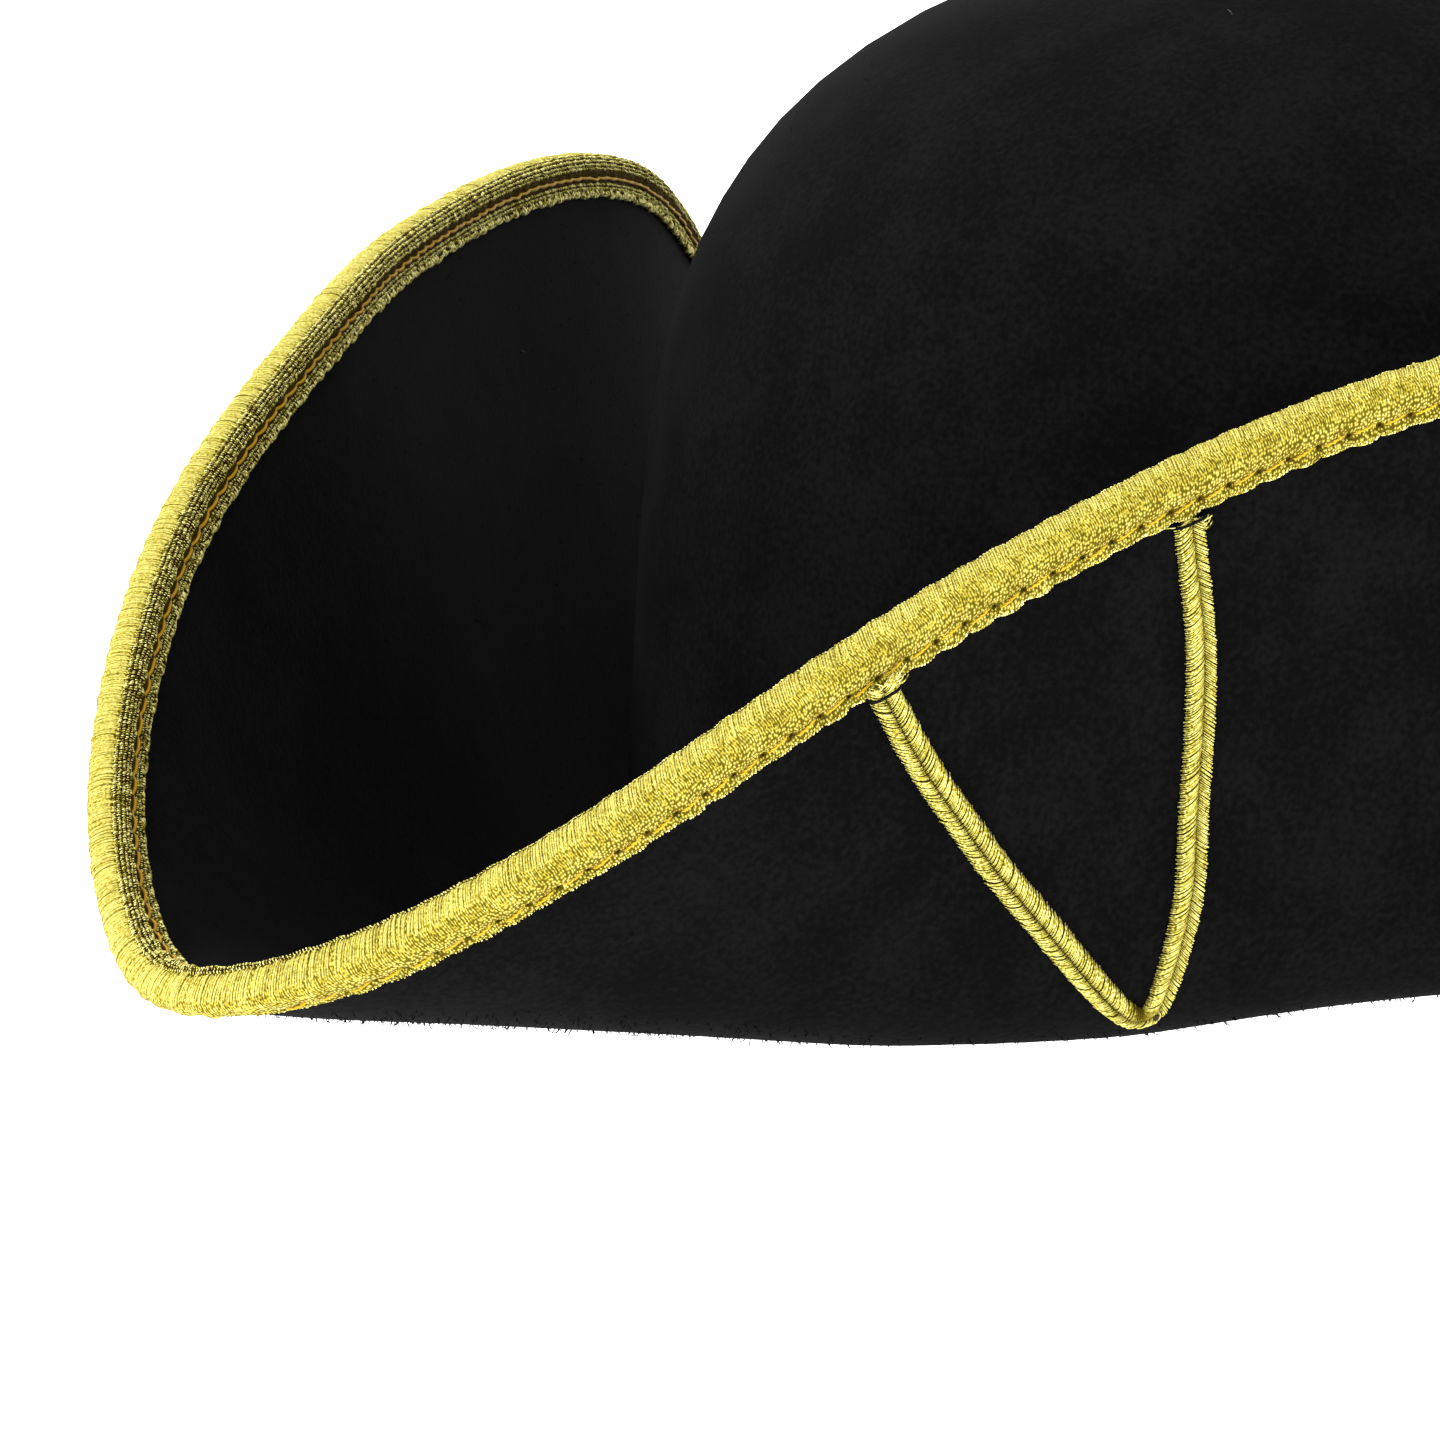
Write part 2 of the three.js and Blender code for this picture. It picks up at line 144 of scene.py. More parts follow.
def row_number(angle):
    """The place among the rows: each half flap's six rows are equal steps of tan(offset from its middle)."""
    turn = (angle + np.pi / 6) / (2 * np.pi / 3)
    flap = np.round(turn)
    offset = (turn - flap) * 2 * np.pi / 3
    return HALF_ROWS * (2 * flap + np.tan(offset) / HALF_SPAN)


def column(values, angle):
    """Uniform cubic B-spline round the ring of values."""
    x = row_number(angle)
    i = np.floor(x).astype(int)
    f = x - i
    before, here, after, beyond = (values[np.mod(i + k, ROWS)] for k in (-1, 0, 1, 2))
    return (
        before * (1 - f) ** 3
        + here * (3 * f**3 - 6 * f**2 + 4)
        + after * (-3 * f**3 + 3 * f**2 + 3 * f + 1)
        + beyond * f**3
    ) / 6


def angle_on(flap, row, side):
    """The angle at a share along a half side of a flap. Flap 0 lies at -30 degrees."""
    return -np.pi / 6 + flap * 2 * np.pi / 3 + side * np.arctan(row * HALF_SPAN)


print(ROWS, "rows round the brim, on a ring of", round(float(RING), 1), "mm")

# %% The middle of the felt


def oval(semi_x, semi_y, angle):
    """Reach of an oval set forward by CROWN_SHIFT, along a ray from the middle."""
    c = np.cos(angle) / semi_x
    s = np.sin(angle) / semi_y
    o = CROWN_SHIFT / semi_y
    a = c * c + s * s
    return (-s * o + np.sqrt(s * s * o * o - a * (o * o - 1))) / a


def middle(angle, part, t):
    """The middle of the felt. `part` is crown, root or brim, and `t` runs over it from the crown outwards.

    The crown is a superellipse, the root a quadratic curve and the brim a cubic curve over the fold.
    """
    angle, t = np.broadcast_arrays(angle, t)
    wall = oval(WALL_X, WALL_Y, angle)
    root_r = oval(ROOT_X, ROOT_Y, angle)
    fold_r = RING + BRIM_WIDTH * column(FOLD_REACH_RING, angle)
    fold_z = FLAP_HEIGHT * column(FOLD_RISE_RING, angle)
    slope = (fold_z - RIM_RISE) / (fold_r - root_r)
    corner_z = RIM_RISE + slope * (wall - root_r)
    foot_z = corner_z + ROOT_BEND
    if part == "crown":
        phase = np.pi / 2 * (1 - t) ** 3
        up = np.sin(phase) ** (2 / CROWN_SQUARENESS)
        size = (1 - CROWN_TAPER * up) * np.cos(phase)
        top = RIM_RISE + CROWN_HEIGHT - FELT / 2
        x = np.cos(angle) * wall * size
        y = (np.sin(angle) * wall + CROWN_SHIFT) * size - CROWN_SHIFT
        return np.stack([x, y, foot_z + (top - foot_z) * up], -1)
    if part == "root":
        r = wall * (1 - t) ** 2 + 2 * wall * t * (1 - t) + root_r * t * t
        z = foot_z * (1 - t) ** 2 + 2 * corner_z * t * (1 - t) + RIM_RISE * t * t
    else:
        edge_r = RING + BRIM_WIDTH * column(EDGE_REACH_RING, angle)
        edge_z = FLAP_HEIGHT * column(EDGE_RISE_RING, angle)
        w = [(1 - t) ** 3, 3 * t * (1 - t) ** 2, 3 * t * t * (1 - t), t**3]
        near_r = root_r + (fold_r - root_r) * FOLD_TIGHTNESS
        near_z = RIM_RISE + (fold_z - RIM_RISE) * FOLD_TIGHTNESS
        far_r = edge_r + (fold_r - edge_r) * FOLD_TIGHTNESS
        far_z = edge_z + (fold_z - edge_z) * FOLD_TIGHTNESS
        r = root_r * w[0] + near_r * w[1] + far_r * w[2] + edge_r * w[3]
        z = RIM_RISE * w[0] + near_z * w[1] + far_z * w[2] + edge_z * w[3]
    return np.stack([np.cos(angle) * r, np.sin(angle) * r, z], -1)


def unit(v):
    """Each vector divided by its own length."""
    return v / np.maximum(np.linalg.norm(v, axis=-1, keepdims=True), 1e-12)


def place(angle, part, t):
    """Point, normal of the felt's upper side, and the directions around and outward."""
    angle, t = np.broadcast_arrays(angle, t)
    h = 1e-4
    p = middle(angle, part, t)
    around = (middle(angle + h, part, t) - middle(angle - h, part, t)) / (2 * h)
    step = np.where(t > 0.5, -h, h)
    outward = (middle(angle, part, t + step) - p) / step[..., None]
    return p, unit(np.cross(outward, around)), around, outward


rim_heights = middle(angle_on(0, np.array([0.0, 1.0]), 1), "brim", np.ones(2))[:, 2]
print("edge at a flap's middle and at the point:", np.round(rim_heights, 1), "mm over the ring")

# %% Resting on the folds


def lowest(angle):
    """Brim share at which the felt's under side is lowest, by halving steps, and its height there."""

    def height(t):
        p, n, _, _ = place(angle, "brim", t)
        return p[..., 2] - FELT / 2 * n[..., 2]

    tries = np.linspace(0, 1, 41)
    levels = np.stack([height(np.full(angle.shape, t)) for t in tries])
    best = tries[np.argmin(levels, 0)]
    z = levels.min(0)
    step = 1 / 40
    while step > 1e-4:
        for move in (-step, step):
            t = np.clip(best + move, 0, 1)
            level = height(t)
            best = np.where(level < z, t, best)
            z = np.minimum(level, z)
        step /= 2
    return best, z


HALF = np.linspace(0, 1, 60)
ALL_ROUND = np.concatenate([angle_on(flap, HALF, side) for flap in range(3) for side in (-1, 1)])
LIFT = -lowest(ALL_ROUND)[1].min() - SEAT_FLAT
print("at rest, the ring's level lies", round(float(LIFT), 3), "mm over the floor")

# %% The felt's two skins


def swell(p):
    """Sum of five long sine waves, 0.12 mm high in all, as hand-blocked felt is never quite true."""
    out = np.zeros(p.shape[:-1])
    for size, direction, phase in (
        (0.04, (0.11, 0.05, 0.09), 0.3),
        (0.03, (-0.07, 0.14, 0.03), 1.9),
        (0.02, (0.17, -0.09, 0.12), 4.0),
        (0.02, (0.05, 0.21, -0.16), 2.6),
        (0.01, (0.31, 0.12, 0.22), 5.1),
    ):
        out += size * np.sin(p @ np.array(direction) + phase)
    return out


def skin(angle, part, t, distance):
    """A point at a distance from the felt's middle, plus on the upper side, pressed flat at the floor."""
    p, n, _, _ = place(angle, part, t)
    q = p + n * (distance + swell(p))[..., None]
    q[..., 2] = np.maximum(q[..., 2] + LIFT, FLOOR_GAP)
    return q


def share_in(angle, width):
    """The brim share at a width in from the edge, measured square to it."""
    _, _, around, outward = place(angle, "brim", np.ones(angle.shape))
    along = unit(around)
    square = outward - np.sum(outward * along, -1, keepdims=True) * along
    return 1 - width / np.linalg.norm(square, axis=-1)


print("a 10 mm strip in from the edge is", round(float(1 - share_in(np.zeros(1), 10.0)[0]), 2), "of the brim")

# %% [markdown]
# ## Making meshes
#
# Every piece below is a set of points worked out as whole arrays and a set of faces between their numbers.
# Blender could build them point by point, but `foreach_set` takes an array in one go, so that even a piece
# with 190,000 triangles takes a fraction of a second.

# %% Mesh from arrays


def make_mesh(name, points, faces, material, uv=None, smooth=True):
    """A mesh object from points in millimetres and arrays of faces with three or four corners each.

    `uv` has a place for each point, or for each corner of the faces.
    """
    verts = np.asarray(points, float) + [0, RING_Y, 0]
    groups = [np.asarray(f, np.int64) for f in faces if len(f)]
    corners = np.concatenate([g.ravel() for g in groups])
    totals = np.concatenate([np.full(len(g), g.shape[1]) for g in groups])
    starts = np.concatenate([[0], np.cumsum(totals)[:-1]])
    mesh = bpy.data.meshes.new(name)
    mesh.vertices.add(len(verts))
    mesh.vertices.foreach_set("co", (verts * 0.001).astype(np.float32).ravel())
    mesh.loops.add(len(corners))
    mesh.loops.foreach_set("vertex_index", corners.astype(np.int32))
    mesh.polygons.add(len(totals))
    mesh.polygons.foreach_set("loop_start", starts.astype(np.int32))
    mesh.update(calc_edges=True)
    if uv is not None:
        layer = mesh.uv_layers.new(name="UVMap")
        by_corner = uv if len(uv) == len(corners) else np.asarray(uv)[corners]
        layer.data.foreach_set("uv", np.asarray(by_corner, np.float32).ravel())
    mesh.polygons.foreach_set("use_smooth", np.full(len(totals), smooth))
    mesh.materials.append(material)
    mesh.validate()
    piece = bpy.data.objects.new(name, mesh)
    bpy.context.scene.collection.objects.link(piece)
    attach(piece, "root")
    triangles = int(np.sum(totals - 2))
    print(f"{name}: {triangles} triangles")
    return piece


# %% Grids and yarns


def grid_faces(rows, columns, wrap_rows=False, wrap_columns=False):
    """Four-cornered faces between the points of a grid, numbered row by row."""
    i = np.arange(rows if wrap_rows else rows - 1)[:, None]
    j = np.arange(columns if wrap_columns else columns - 1)[None]
    a = i * columns + j
    b = i * columns + (j + 1) % columns
    c = ((i + 1) % rows) * columns + (j + 1) % columns
    d = ((i + 1) % rows) * columns + j
    return np.stack([a, b, c, d], -1).reshape(-1, 4)


def tubes(paths, lift, radius, sides=4, flat=1.0):
    """Closed yarns along many paths of equal length: points and faces.

    paths (n, m, 3), lift the way up, radius (n, m). A section is a ring of `sides` points, and `flat`
    scales its height.
    """
    count, steps = paths.shape[:2]
    tangent = unit(np.gradient(paths, axis=1))
    across = unit(np.cross(tangent, np.broadcast_to(lift, paths.shape)))
    up = np.cross(across, tangent)
    turn = (np.arange(sides) + 0.5) * 2 * np.pi / sides
    ring = across[:, :, None] * np.cos(turn)[:, None] + flat * up[:, :, None] * np.sin(turn)[:, None]
    points = paths[:, :, None] + np.broadcast_to(radius, (count, steps))[:, :, None, None] * ring
    sleeve = grid_faces(steps, sides, wrap_columns=True)[:, ::-1]
    k = np.arange(1, sides - 1)
    start = np.stack([0 * k, k, k + 1], -1)
    ends = np.concatenate([start, (steps - 1) * sides + start[:, ::-1]])
    shift = (np.arange(count) * steps * sides)[:, None, None]
    return points.reshape(-1, 3), [(sleeve[None] + shift).reshape(-1, 4), (ends[None] + shift).reshape(-1, 3)]


def yarn_map(place_along, count, sides):
    """Map of a set of yarns: U is the place along a yarn, and V is the yarn's own share, drawn at random."""
    shape = (count, np.size(place_along), sides)
    u = np.broadcast_to(np.reshape(place_along, (1, -1, 1)), shape)
    v = np.broadcast_to(rng.uniform(0, 1, (count, 1, 1)), shape)
    return np.stack([u, v], -1).reshape(-1, 2)


def together(groups):
    """The points and faces of several groups as one."""
    points = np.concatenate([p for p, _ in groups])
    shift = np.concatenate([[0], np.cumsum([len(p) for p, _ in groups])[:-1]])
    quads = np.concatenate([f[0] + s for (_, f), s in zip(groups, shift)])
    ends = np.concatenate([f[1] + s for (_, f), s in zip(groups, shift)])
    return points, [quads, ends]


print("a yarn of 4 points by 4 sides has", len(grid_faces(4, 4, wrap_columns=True)), "faces and two ends")

# %% [markdown]
# ## Materials
#
# Felt is a matted black with short fibres that catch the light at a grazing angle. The braids are spun from a
# flat metal strip wound on a thread, so that each yarn glitters in grains and lies in dark brown shade where
# it dives under the next. Both the glints and that shade are painted into the braids' colour. A picture of
# braid would be the usual way, but procedural noise stays sharp at any distance. Both braids share the
# finish, so it is a node group, and each material gives it the weave's height at every place.

# %% Node helpers


def new_material(name):
    """A material with its nodes, its links and its Principled shader."""
    material = bpy.data.materials.new(name)
    material.use_nodes = True
    nodes = material.node_tree.nodes
    shader = next(node for node in nodes if node.type == "BSDF_PRINCIPLED")
    return material, nodes, material.node_tree.links, shader


def math_node(tree, kind, *values):
    """The output of a Math node whose inputs are numbers or other nodes' outputs."""
    node = tree.nodes.new("ShaderNodeMath")
    node.operation = kind
    for socket, value in zip(node.inputs, values):
        if isinstance(value, (int, float)):
            socket.default_value = value
        else:
            tree.links.new(value, socket)
    return node.outputs[0]


def mix_colors(tree, factor, first, second):
    """The output of a Mix node between two colours."""
    node = tree.nodes.new("ShaderNodeMix")
    node.data_type = "RGBA"
    for socket, value in ((node.inputs[0], factor), (node.inputs[6], first), (node.inputs[7], second)):
        if isinstance(value, (int, float, tuple)):
            socket.default_value = value
        else:
            tree.links.new(value, socket)
    return node.outputs[2]


def noise(tree, vector, scale, detail=2.0):
    """The output of a Noise node, whose scale is in lumps to the metre or to the map's millimetre."""
    node = tree.nodes.new("ShaderNodeTexNoise")
    node.inputs["Scale"].default_value = scale
    node.inputs["Detail"].default_value = detail
    tree.links.new(vector, node.inputs["Vector"])
    return node.outputs["Fac"]


def smooth_step(tree, value, low, high):
    """0 below low and 1 above high, with a smooth way between."""
    node = tree.nodes.new("ShaderNodeMapRange")
    node.interpolation_type = "SMOOTHSTEP"
    node.inputs["From Min"].default_value = low
    node.inputs["From Max"].default_value = high
    tree.links.new(value, node.inputs["Value"])
    return node.outputs["Result"]


# %% Spun metal


def spun_metal_group():
    """Colour of spun metal: the weave's height plus half a fine grain goes from painted gap shade to yarn to
    painted glint.
    """
    tree = bpy.data.node_groups.new("spun_metal", "ShaderNodeTree")
    # Gap is painted shade between the yarns, and Glint is a painted highlight.
    for name, kind in (
        ("Vector", "NodeSocketVector"),
        ("Weave", "NodeSocketFloat"),
        ("Gap", "NodeSocketColor"),
        ("Yarn", "NodeSocketColor"),
        ("Glint", "NodeSocketColor"),
    ):
        tree.interface.new_socket(name, in_out="INPUT", socket_type=kind)
    tree.interface.new_socket("Color", in_out="OUTPUT", socket_type="NodeSocketColor")
    tree.interface.new_socket("Height", in_out="OUTPUT", socket_type="NodeSocketFloat")
    given = tree.nodes.new("NodeGroupInput")
    result = tree.nodes.new("NodeGroupOutput")
    grain = noise(tree, given.outputs["Vector"], 5200, 1.0)
    height = math_node(tree, "MULTIPLY_ADD", grain, 0.5, given.outputs["Weave"])
    raised = smooth_step(tree, height, 0.25, 0.85)
    body = mix_colors(tree, raised, given.outputs["Gap"], given.outputs["Yarn"])
    proud = smooth_step(tree, height, 0.85, 1.3)
    bright = mix_colors(tree, proud, body, given.outputs["Glint"])
    tree.links.new(bright, result.inputs["Color"])
    tree.links.new(height, result.inputs["Height"])
    return tree


SPUN_METAL = spun_metal_group()


def spun_metal(tree, weave, gap, yarn, glint):
    """The group in a material, with its own colours for yarn, painted gap shade and painted glint. Returns
    its outputs Color and Height.
    """
    node = tree.nodes.new("ShaderNodeGroup")
    node.node_tree = SPUN_METAL
    where = tree.nodes.new("ShaderNodeTexCoord")
    tree.links.new(where.outputs["Object"], node.inputs["Vector"])
    tree.links.new(weave, node.inputs["Weave"])
    for name, value in (("Gap", gap), ("Yarn", yarn), ("Glint", glint)):
        if isinstance(value, tuple):
            node.inputs[name].default_value = (*value, 1)
        else:
            tree.links.new(value, node.inputs[name])
    return node.outputs["Color"], node.outputs["Height"]


def metal_surface(tree, shader, color, height, strength, distance):
    """Colour, relief and gloss of a braid: the higher the weave, the more metallic and the less rough."""
    tree.links.new(color, shader.inputs["Base Color"])
    bump = tree.nodes.new("ShaderNodeBump")
    bump.inputs["Strength"].default_value = strength
    bump.inputs["Distance"].default_value = distance
    tree.links.new(height, bump.inputs["Height"])
    tree.links.new(bump.outputs["Normal"], shader.inputs["Normal"])
    gloss = smooth_step(tree, height, 0.3, 1.0)
    tree.links.new(math_node(tree, "MULTIPLY", gloss, 0.32), shader.inputs["Metallic"])
    tree.links.new(math_node(tree, "MULTIPLY_ADD", gloss, -0.5, 0.92), shader.inputs["Roughness"])
    shader.inputs["Specular IOR Level"].default_value = 0.03


# Painted shade: the three gap colours stand for the shade between yarns, ribs and knitted dots, the deepest
# one for shaded zones and needle holes.
GAP_SHADE = (0.085, 0.066, 0.004)
YARN_GAP_SHADE = (0.1, 0.075, 0.004)
DEEP_GAP_SHADE = (0.016, 0.0065, 0.0003)
YARN = (0.33, 0.265, 0.026)
TAN_YARN = (0.15, 0.07, 0.003)
# Painted highlights: the three glint colours stand for the light caught on raised grains and yarn ends.
GLINT = (0.56, 0.53, 0.16)
SOUTACHE_YARN = (0.42, 0.35, 0.04)
SOUTACHE_GLINT = (0.68, 0.65, 0.22)
END_YARN = (0.4, 0.33, 0.04)
END_GLINT = (0.85, 0.8, 0.3)
print("the spun metal's group has", len(SPUN_METAL.nodes), "nodes")

# %% Felt and plain finishes
BLACK_WOOL = (0.0013, 0.0013, 0.0014)
GREY_WOOL = (0.0032, 0.0032, 0.0034)


def felt_material():
    """Black wool: 0.55 of a fine noise and 0.45 of a broad one give its tone and its relief."""
    material, nodes, links, shader = new_material("black_felt")
    tree = material.node_tree
    where = nodes.new("ShaderNodeTexCoord").outputs["Object"]
    fine = noise(tree, where, 1500, 3.0)
    broad = noise(tree, where, 95, 4.0)
    both = math_node(tree, "MULTIPLY_ADD", broad, 0.45, math_node(tree, "MULTIPLY", fine, 0.55))
    tone = mix_colors(tree, smooth_step(tree, both, 0.38, 0.68), (*BLACK_WOOL, 1), (*GREY_WOOL, 1))
    links.new(tone, shader.inputs["Base Color"])
    bump = nodes.new("ShaderNodeBump")
    bump.inputs["Strength"].default_value = 0.5
    bump.inputs["Distance"].default_value = 0.0003
    links.new(both, bump.inputs["Height"])
    links.new(bump.outputs["Normal"], shader.inputs["Normal"])
    shader.inputs["Roughness"].default_value = 0.95
    shader.inputs["Specular IOR Level"].default_value = 0.018
    shader.inputs["Sheen Weight"].default_value = 0.004
    shader.inputs["Sheen Roughness"].default_value = 0.5
    return material


def plain_material(name, color, roughness, metallic=0.0, specular=0.5):
    """One colour and one roughness all over."""
    material, _, _, shader = new_material(name)
    shader.inputs["Base Color"].default_value = (*color, 1)
    shader.inputs["Roughness"].default_value = roughness
    shader.inputs["Metallic"].default_value = metallic
    shader.inputs["Specular IOR Level"].default_value = specular
    return material


FELT_LOOK = felt_material()
print("felt:", len(FELT_LOOK.node_tree.nodes), "nodes")

# %% Single yarns


def yarn_material(name, shade, variety, windings, yarn, glint):
    """Single yarns: a shade of their own, and grains where the metal strip winds round the thread.

    The winding adds 0.32 sin(2 pi n (U + 5 V)), with n windings along a yarn.
    """
    material, nodes, links, shader = new_material(name)
    tree = material.node_tree
    where = nodes.new("ShaderNodeTexCoord").outputs["Object"]
    patch = noise(tree, where, 900, 2.0)
    fine = noise(tree, where, 3600, 1.0)
    own = nodes.new("ShaderNodeUVMap")
    own.uv_map = "UVMap"
    split = nodes.new("ShaderNodeSeparateXYZ")
    links.new(own.outputs["UV"], split.inputs[0])
    weave = math_node(tree, "MULTIPLY_ADD", patch, 0.5, math_node(tree, "MULTIPLY_ADD", fine, 1.3, shade))
    weave = math_node(tree, "MULTIPLY_ADD", split.outputs["Y"], variety, weave)
    wound = math_node(tree, "MULTIPLY_ADD", split.outputs["Y"], 5.0, split.outputs["X"])
    wound = math_node(tree, "SINE", math_node(tree, "MULTIPLY", wound, 2 * np.pi * windings))
    weave = math_node(tree, "MULTIPLY_ADD", wound, 0.32, weave)
    # Painted light: the gap colour is painted shade between the windings, and the glint is a painted
    # highlight.
    color, height = spun_metal(tree, weave, YARN_GAP_SHADE, yarn, glint)
    metal_surface(tree, shader, color, height, strength=0.6, distance=0.00006)
    return material


YARN_LOOK = yarn_material("gold_yarn", shade=-0.3, variety=0.2, windings=15, yarn=YARN, glint=GLINT)
LOOP_LOOK = yarn_material(
    "gold_soutache", shade=-0.32, variety=0.3, windings=6, yarn=SOUTACHE_YARN, glint=SOUTACHE_GLINT
)
BIGHT_LOOK = yarn_material(
    "gold_yarn_end", shade=-0.6, variety=0.9, windings=2, yarn=END_YARN, glint=END_GLINT
)
print("three kinds of yarn, in", YARN_LOOK.name, LOOP_LOOK.name, BIGHT_LOOK.name)

# %% [markdown]
# ### The binding's finish
#
# The real braid is ribbed where it turns over the edge and knitted in small loops on both faces. Its inner
# face has painted shade between the loops and is brown beside the stitches. One material shows all that, as
# its map runs across the braid in millimetres, and a colour ramp tells it how knitted, shaded and brown each
# zone is.

# %% Zones
# The binding's zones, from the outer lip (minus) over the fold (0) to the inner lip (plus), in millimetres.
# knit is the share of knitted dots against ribs, dark how much painted shade fills its gaps and tan how brown
# it is.
BINDING_ZONES = (
    # place, knit, dark, tan
    (-6.3, 1.0, 0.1, 0.0),
    (-5.2, 1.0, 0.1, 0.1),
    (-4.55, 0.9, 0.05, 0.5),
    (-4.0, 1.0, 0.06, 0.0),
    (-3.3, 0.65, 0.1, 0.0),
    (-2.7, 0.4, 0.12, 0.0),
    (-1.6, 0.5, 0.06, 0.0),
    (-1.0, 0.6, 0.0, 0.0),
    (1.2, 0.7, 0.1, 0.0),
    (1.7, 1.0, 0.95, 0.0),
    (3.5, 1.0, 1.0, 0.1),
    (3.9, 0.3, 0.7, 1.0),
    (5.0, 0.3, 0.7, 1.0),
    (6.9, 0.6, 0.9, 0.7),
)
ZONE_REACH = 7.0
print(len(BINDING_ZONES), "zones across the binding")

# %% Binding's material


def binding_material(rib_pitch, dot_pitch, stitch_pitch, stitch_place):
    """Ribs, knitted dots and needle holes, on a map whose U runs from lip to lip and whose V runs along.

    A rib is 0.5 + 0.5 sin(2 pi v / pitch), and a dot is 1.3 - 2.4 times the distance to its middle.
    """
    material, nodes, links, shader = new_material("gold_braid")
    tree = material.node_tree
    where = nodes.new("ShaderNodeUVMap")
    where.uv_map = "UVMap"
    split = nodes.new("ShaderNodeSeparateXYZ")
    links.new(where.outputs["UV"], split.inputs[0])
    u, v = split.outputs["X"], split.outputs["Y"]

    zones = nodes.new("ShaderNodeValToRGB")
    ramp = zones.color_ramp
    for number, (at, knit, dark, tan) in enumerate(BINDING_ZONES):
        position = (at + ZONE_REACH) / (2 * ZONE_REACH)
        stop = ramp.elements[number] if number < 2 else ramp.elements.new(position)
        stop.position = position
        stop.color = (knit, dark, tan, 1)
    links.new(math_node(tree, "MULTIPLY_ADD", u, 0.5 / ZONE_REACH, 0.5), zones.inputs["Fac"])
    parts = nodes.new("ShaderNodeSeparateColor")
    links.new(zones.outputs["Color"], parts.inputs[0])
    knit, dark, tan = parts.outputs

    wander = noise(tree, where.outputs["UV"], 0.9, 2.0)
    lean = math_node(tree, "MULTIPLY_ADD", u, 0.12, v)
    lean = math_node(tree, "MULTIPLY_ADD", wander, 0.5, lean)
    rib = math_node(tree, "SINE", math_node(tree, "MULTIPLY", lean, 2 * np.pi / rib_pitch))
    rib = math_node(tree, "MULTIPLY_ADD", rib, 0.5, 0.5)

    stretch = nodes.new("ShaderNodeMapping")
    stretch.inputs["Scale"].default_value = (1 / 0.42, 1 / dot_pitch, 1)
    stretch.inputs["Rotation"].default_value = (0, 0, 0.06)
    links.new(where.outputs["UV"], stretch.inputs["Vector"])
    dots = nodes.new("ShaderNodeTexVoronoi")
    dots.voronoi_dimensions = "2D"
    dots.inputs["Scale"].default_value = 1.0
    dots.inputs["Randomness"].default_value = 0.7
    links.new(stretch.outputs["Vector"], dots.inputs["Vector"])
    dot = math_node(tree, "MULTIPLY_ADD", dots.outputs["Distance"], -2.4, 1.3)

    one = nodes.new("ShaderNodeMix")
    links.new(knit, one.inputs[0])
    links.new(rib, one.inputs[2])
    links.new(dot, one.inputs[3])
    patch = noise(tree, where.outputs["UV"], 0.55, 2.0)
    weave = math_node(tree, "MULTIPLY_ADD", patch, 1.0, math_node(tree, "SUBTRACT", one.outputs[0], 0.42))
    weave = math_node(tree, "MULTIPLY_ADD", dark, -1.5, weave)
    weave = math_node(tree, "MULTIPLY_ADD", math_node(tree, "MULTIPLY", one.outputs[0], dark), 0.6, weave)

    # A needle hole is a round dip, painted dark as shade: exp(-(distance / size)^2) in each of the two
    # directions.
    turn = math_node(tree, "FRACT", math_node(tree, "MULTIPLY", v, 1 / stitch_pitch))
    along = math_node(tree, "MULTIPLY", math_node(tree, "SUBTRACT", turn, 0.5), stitch_pitch / 0.32)
    beside = math_node(tree, "MULTIPLY", math_node(tree, "SUBTRACT", u, stitch_place), 1 / 0.15)
    spread = math_node(tree, "MULTIPLY_ADD", along, along, math_node(tree, "MULTIPLY", beside, beside))
    hole = math_node(tree, "EXPONENT", math_node(tree, "MULTIPLY", spread, -1.0))
    weave = math_node(tree, "MULTIPLY_ADD", hole, -1.6, weave)

    # Painted shade: the gap colour goes darker in the shaded zones and in the needle holes. The glint is a
    # painted highlight.
    gap = mix_colors(tree, math_node(tree, "MAXIMUM", dark, hole), (*GAP_SHADE, 1), (*DEEP_GAP_SHADE, 1))
    yarn = mix_colors(tree, tan, (*YARN, 1), (*TAN_YARN, 1))
    color, height = spun_metal(tree, weave, gap, yarn, GLINT)
    metal_surface(tree, shader, color, height, strength=0.9, distance=0.00012)
    return material


# %% Fibres, threads and cores
NAP_LOOK = plain_material("felt_fibre", (0.004, 0.004, 0.0042), 0.9, specular=0.02)
LINT_LOOK = plain_material("pale_fibre", (0.16, 0.155, 0.145), 0.8, specular=0.1)
# The soutache's real core, coloured dark brown so that it stands for the shade in its groove and between its
# yarns.
GROOVE_SHADE_LOOK = plain_material("braid_core_shade", (0.065, 0.042, 0.0025), 0.8, metallic=0.1, specular=0.1)
THREAD_LOOK = plain_material("orange_thread", (0.34, 0.19, 0.006), 0.55, specular=0.12)
GOLDEN_THREAD_LOOK = plain_material("golden_thread", (0.42, 0.27, 0.009), 0.55, specular=0.12)
# Black thread that also stands for the dark shadow line where the soutache's ends meet the binding's lip.
TIE_AND_SHADOW_LINE_LOOK = plain_material("black_thread_and_shadow_line", (0.0025, 0.0025, 0.0025), 0.7, specular=0.05)
TACK_LOOK = plain_material("grey_tack", (0.04, 0.03, 0.018), 0.7, specular=0.1)
print(len(bpy.data.materials), "materials so far")

